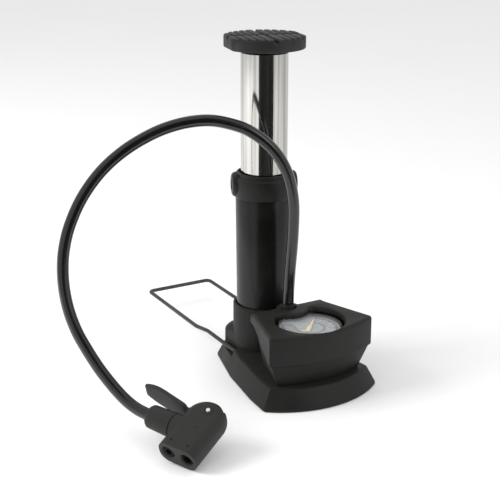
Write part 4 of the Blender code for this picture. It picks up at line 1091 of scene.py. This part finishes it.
HEAD = head_frame()
ALONG_HOLES = along((0, 1, 0))
ALONG_HOSE = along((1, 0, 0))
NECK_PLACE = HEAD @ shift(y=NECK_V) @ ALONG_HOSE
PIN_PLACE = HEAD @ shift(PIN_H)
PIN_HOLE_R = 1.65
VALVE_HOLE_R = 3.6


def hole_place(side):
    """The axis of one valve hole."""
    return HEAD @ shift(side * HOLE_SPACING / 2) @ ALONG_HOLES


def head_outline(end, steps=48):
    """Outline of the body from its flat side: a round dome and a straight end."""
    dome = [on_circle(HEAD_HALF_W, math.pi * (1 + k / steps), y=DOME_Y) for k in range(steps + 1)]
    return dome + [(HEAD_HALF_W, end), (-HEAD_HALF_W, end)]


def build_head():
    """Flat body with a domed back, rolled sides, a pin boss and chamfered holes."""
    outline = head_outline(HEAD_END + 8.0)
    sections = []
    for k in range(21):
        a = math.radians(-90 + 180 * k / 20)
        distance = 6.0 * (1 - math.cos(a)) ** 1.15
        sections.append(at_height(inset(outline, distance), HEAD_HALF_T * math.sin(a)))
    made = loft("head_shell", sections, HEAD)
    end = box("head_end_cut", (-20, HEAD_END, -20), (20, HEAD_END + 20, 20), HEAD)
    boss = turned("pin_boss", [
        (0, HEAD_HALF_T + 0.45), (2.7, HEAD_HALF_T + 0.45), (3.05, HEAD_HALF_T + 0.35),
        (3.2, HEAD_HALF_T + 0.1), (3.3, HEAD_HALF_T - 0.4), (3.3, 6.0), (0, 6.0),
    ], PIN_PLACE)
    socket = turned("neck_boss", [
        (0, NECK_SEAM), (NECK_R - 0.5, NECK_SEAM), (NECK_R - 0.12, NECK_SEAM - 0.15),
        (NECK_R, NECK_SEAM - 0.55), (NECK_R, -2.0), (0, -2.0),
    ], NECK_PLACE, 72)
    join(made, boss, socket)
    cut(made, end,
        box("lever_slot", (-8.3, -14, -4.9), (7.5, 7.0, 4.9), HEAD),
        box("lever_slot_outer", (7.4, -14, -4.9), (16, 4.6, 4.9), HEAD),
        rod("pin_hole", (PIN_H, 0, -12), (PIN_H, 0, 12), PIN_HOLE_R, 32, place=HEAD),
        rod("pin_sink", (PIN_H, 0, 6.95), (PIN_H, 0, 8.2), PIN_HOLE_R, 32, 2.3, HEAD),
        box("presser_chamber", (-9.7, 20.2, -3.7), (9.7, 24.7, 3.7), HEAD),
        rod("stem_bore_hole", (PIN_H, 5, 0), (PIN_H, 21, 0), 2.6, 24, place=HEAD),
        rod("neck_port", (4.4, NECK_V, 0), (16, NECK_V, 0), 4.2, 40, place=HEAD),
        rod("air_passage", (0.3, NECK_V, 0), (6, NECK_V, 0), 1.3, 18, place=HEAD))
    for side in (-1, 1):
        hole = turned(f"valve_hole_{side}", [
            (0, HEAD_END + 2), (5.6, HEAD_END + 2), (4.6, HEAD_END + 0.05),
            (3.7, HEAD_END - 0.9), (VALVE_HOLE_R, 24.0), (0, 24.0),
        ], hole_place(side))
        x = 0.9 * side * HOLE_SPACING / 2
        dimple = rod(f"dimple_{side}", (x, HEAD_END - 4.2, HEAD_HALF_T - 0.55),
                     (x, HEAD_END - 4.2, HEAD_HALF_T + 1), 0.6, 24, 1.2, HEAD)
        cut(made, hole, dimple)
    return finish_piece(settle(made, 28, 0.22, True), HEAD_PLASTIC, "base", "black_plastic",
                        "valve_head_body")


def build_neck():
    """Screwed cap that holds the hose, tapered to its end, with a seam at the body."""
    return turned_piece("neck_cap", [
        (4.3, NECK_END), (5.3, NECK_END - 0.1), (6.2, NECK_END - 0.9), (6.8, NECK_END - 1.8),
        (6.95, NECK_END - 3.0), (7.45, NECK_SEAM + 1.0), (NECK_R - 0.1, NECK_SEAM + 0.55),
        (NECK_R - 0.5, NECK_SEAM + 0.3), (3.9, NECK_SEAM + 0.3), (3.9, 5.0), (2.8, 5.0),
        (2.8, 25.0), (3.75, 25.2), (3.75, NECK_END - 0.1),
    ], HEAD_PLASTIC, "black_plastic", "head_neck", NECK_PLACE, 72)


def build_gasket(name, side, bore):
    return turned_piece(name + "_ring", [
        (2.9, 30.5), (3.3, 30.1), (3.3, 27.1), (bore, 27.1), (bore, 29.6),
        (bore + 0.35, 30.35), (bore + 0.6, 30.5),
    ], GASKET_SHADE_RUBBER, "black_rubber", name, hole_place(side))


def build_pin():
    return turned_piece("hinge_pin", [
        (0, 8.0), (0.9, 7.97), (1.2, 7.85), (1.35, 7.6), (1.35, -7.4), (1.1, -7.7), (0, -7.7),
    ], PIN_BRIGHT, "steel", "lever_pin", PIN_PLACE, 40)


LEVER_PLATE = [               # along the hose, outer face, inner face, half width
    (1.5, -2.0, 3.0, 4.2), (12.5, 1.15, 3.6, 4.6), (13.0, 1.1, 3.5, 5.4),
    (13.7, 1.0, 3.4, 6.4), (14.8, 0.8, 3.2, 6.9), (16.5, 0.5, 2.9, 7.0),
    (24.0, -1.0, 1.4, 7.0), (30.0, -2.2, 0.2, 7.0), (34.0, -2.9, -0.5, 6.95),
    (37.0, -3.3, -0.8, 6.6), (40.0, -3.6, -1.1, 5.9), (43.0, -3.8, -1.4, 4.9),
    (45.3, -3.9, -1.75, 4.0), (45.8, -3.8, -2.0, 3.7),
]


def cam_radius(degrees):
    """Distance of the cam's edge from its pin: low towards the presser, then a lobe."""
    if degrees <= 90:
        return 5.0
    if degrees <= 180:
        return 5.0 + (degrees - 90) / 60
    if degrees <= 300:
        return 6.5 - (degrees - 180) / 60
    return 4.5 + (degrees - 300) / 120


def build_lever():
    """Thumb lever: a flat plate that grows from a cam around its pin."""
    cam = [on_circle(cam_radius(a), math.radians(a), PIN_H) for a in range(0, 360, 5)]
    made = loft("thumb_lever", stack(
        lambda distance: inset(cam, distance), (0.4, -4.6), (0.0, -4.2), (0.0, 4.2), (0.4, 4.6)),
        HEAD)
    sections = []
    for h, outer, inner, half in LEVER_PLATE:
        section = []
        middle = (outer + inner) / 2
        thick = (inner - outer) / 2
        for side in (1, -1):
            for k in range(7):
                a = math.radians(-90 + 30 * k) * side
                reach = math.copysign(abs(math.sin(a)) ** 0.45, math.sin(a)) if k != 3 else 0.0
                depth = abs(math.cos(a)) ** 0.45 if 0 < k < 6 else 0.0
                section.append((h, middle + thick * reach, side * (half - 0.7 + 0.7 * depth)))
        sections.append(section)
    join(made, loft("lever_plate", sections, HEAD))
    cut(made, rod("lever_hole", (PIN_H, 0, -12), (PIN_H, 0, 12), PIN_HOLE_R, 32, place=HEAD))
    return finish_piece(settle(made, 28), HEAD_PLASTIC, "lever", "black_plastic", "head_lever")


# ---- build
hose = build_hose()
head_pieces = [build_head(), build_neck(), build_pin(), build_lever(),
               build_gasket("wide_gasket", -1, 2.6), build_gasket("narrow_gasket", 1, 1.8),
               NODES["head_barb"], NODES["gasket_presser"]]
build_cylinder()
build_barrel()
build_collar()
build_collar_screws()
build_wiper()
build_tread()
build_housing()
build_cover()
build_ferrule()
build_gauge()
build_dial_print()
build_needle_hub()
build_bail()
clear_workshop()

# Nodes whose CAD shape is kept, each with its own finish.
KEPT_LOOKS = [
    (STEEL, "piston_rod piston_nut return_spring check_ball check_spring pedal_screw "
            "base_screw_1 base_screw_2 base_screw_3 base_screw_4"),
    (BRASS, "hose_barb head_barb gauge_stem bourdon_tube movement_bridge gauge_sector"),
    (NYLON, "guide_bush tube_bush piston air_manifold gasket_presser"),
    (RUBBER, "piston_cup head_o_ring"),
    (PLATE_STEEL, "base_plate"),
    (POINTER_CREAM, "gauge_pointer"),
    (COLLAR_PLASTIC, "cylinder_head"),
    (BLACK_PLASTIC, "pedal_core"),
]
for look, nodes in KEPT_LOOKS:
    for node in nodes.split():
        NODES[node].data.materials.clear()
        NODES[node].data.materials.append(look)


# ---- studio
FILL = 0.92
SURROUND = 0.72
LIT_SPOT = Vector((0.02, -0.02, 0.08))


def soft_light(name, at, size, power):
    """A square light that aims at the pump's base."""
    data = bpy.data.lights.new(name, "AREA")
    data.shape = "SQUARE"
    data.size = size
    data.energy = power
    made = bpy.data.objects.new(name, data)
    bpy.context.scene.collection.objects.link(made)
    made.location = at
    made.rotation_euler = (LIT_SPOT - Vector(at)).to_track_quat("-Z", "Y").to_euler()
    return made


def plain_material(name, first, second):
    made, tree, shader = start_material(name)
    feed(shader, Base_Color=blend_colours(tree, noise_at(tree, 6.0), first, second),
         Roughness=0.9, Specular_IOR_Level=0.1)
    return made


def stage_piece(name, mesh, look):
    """A surface of the studio, which isn't part of the pump."""
    made = add_object(name, mesh, bpy.context.scene.collection)
    made.data.materials.append(look)
    return made


def build_floor():
    shape = bmesh.new()
    bmesh.ops.create_circle(shape, cap_ends=True, segments=96, radius=3.0)
    mesh = as_mesh(shape, "floor")
    mesh.transform(shift(z=-0.2))
    stage_piece("floor", mesh, plain_material("floor_pale", (0.86, 0.86, 0.86),
                                              (0.88, 0.88, 0.88)))


def build_dark_card():
    """A dark card that only the shiny surfaces reflect."""
    shape = bmesh.new()
    bmesh.ops.create_grid(shape, x_segments=1, y_segments=1, size=0.5)
    card = stage_piece("dark_card", as_mesh(shape, "dark_card"),
                       plain_material("card_black", (0.025, 0.025, 0.024), (0.035, 0.035, 0.034)))
    card.scale = (0.42, 0.5, 1.0)
    card.location = (0.277, -0.114, 0.25)
    card.rotation_euler = (math.radians(90), 0, math.radians(67.6))
    card.visible_camera = False
    card.visible_transmission = False
    card.visible_shadow = False
    card.visible_diffuse = False


def build_world():
    """White behind the pump, a bright surround for shiny surfaces and a dimmer fill light."""
    world = bpy.data.worlds.new("studio")
    world.use_nodes = True
    tree = world.node_tree
    rays = add_node(tree, "LightPath").outputs
    shiny = spread(tree, rays["Is Glossy Ray"], 0.0, 1.0, FILL, SURROUND)
    feed(tree.nodes["Background"], Color=(1.0, 1.0, 1.0, 1.0),
         Strength=worked_out(tree, "MAXIMUM", shiny, rays["Is Camera Ray"]))
    bpy.context.scene.world = world


build_world()
build_floor()
build_dark_card()
key = soft_light("key", (-0.35, -1.05, 0.75), 0.7, 13.0)
key.visible_glossy = False
soft_light("front", (0.95, 0.25, 0.6), 0.5, 2.0)
bpy.context.scene.view_settings.view_transform = "Standard"
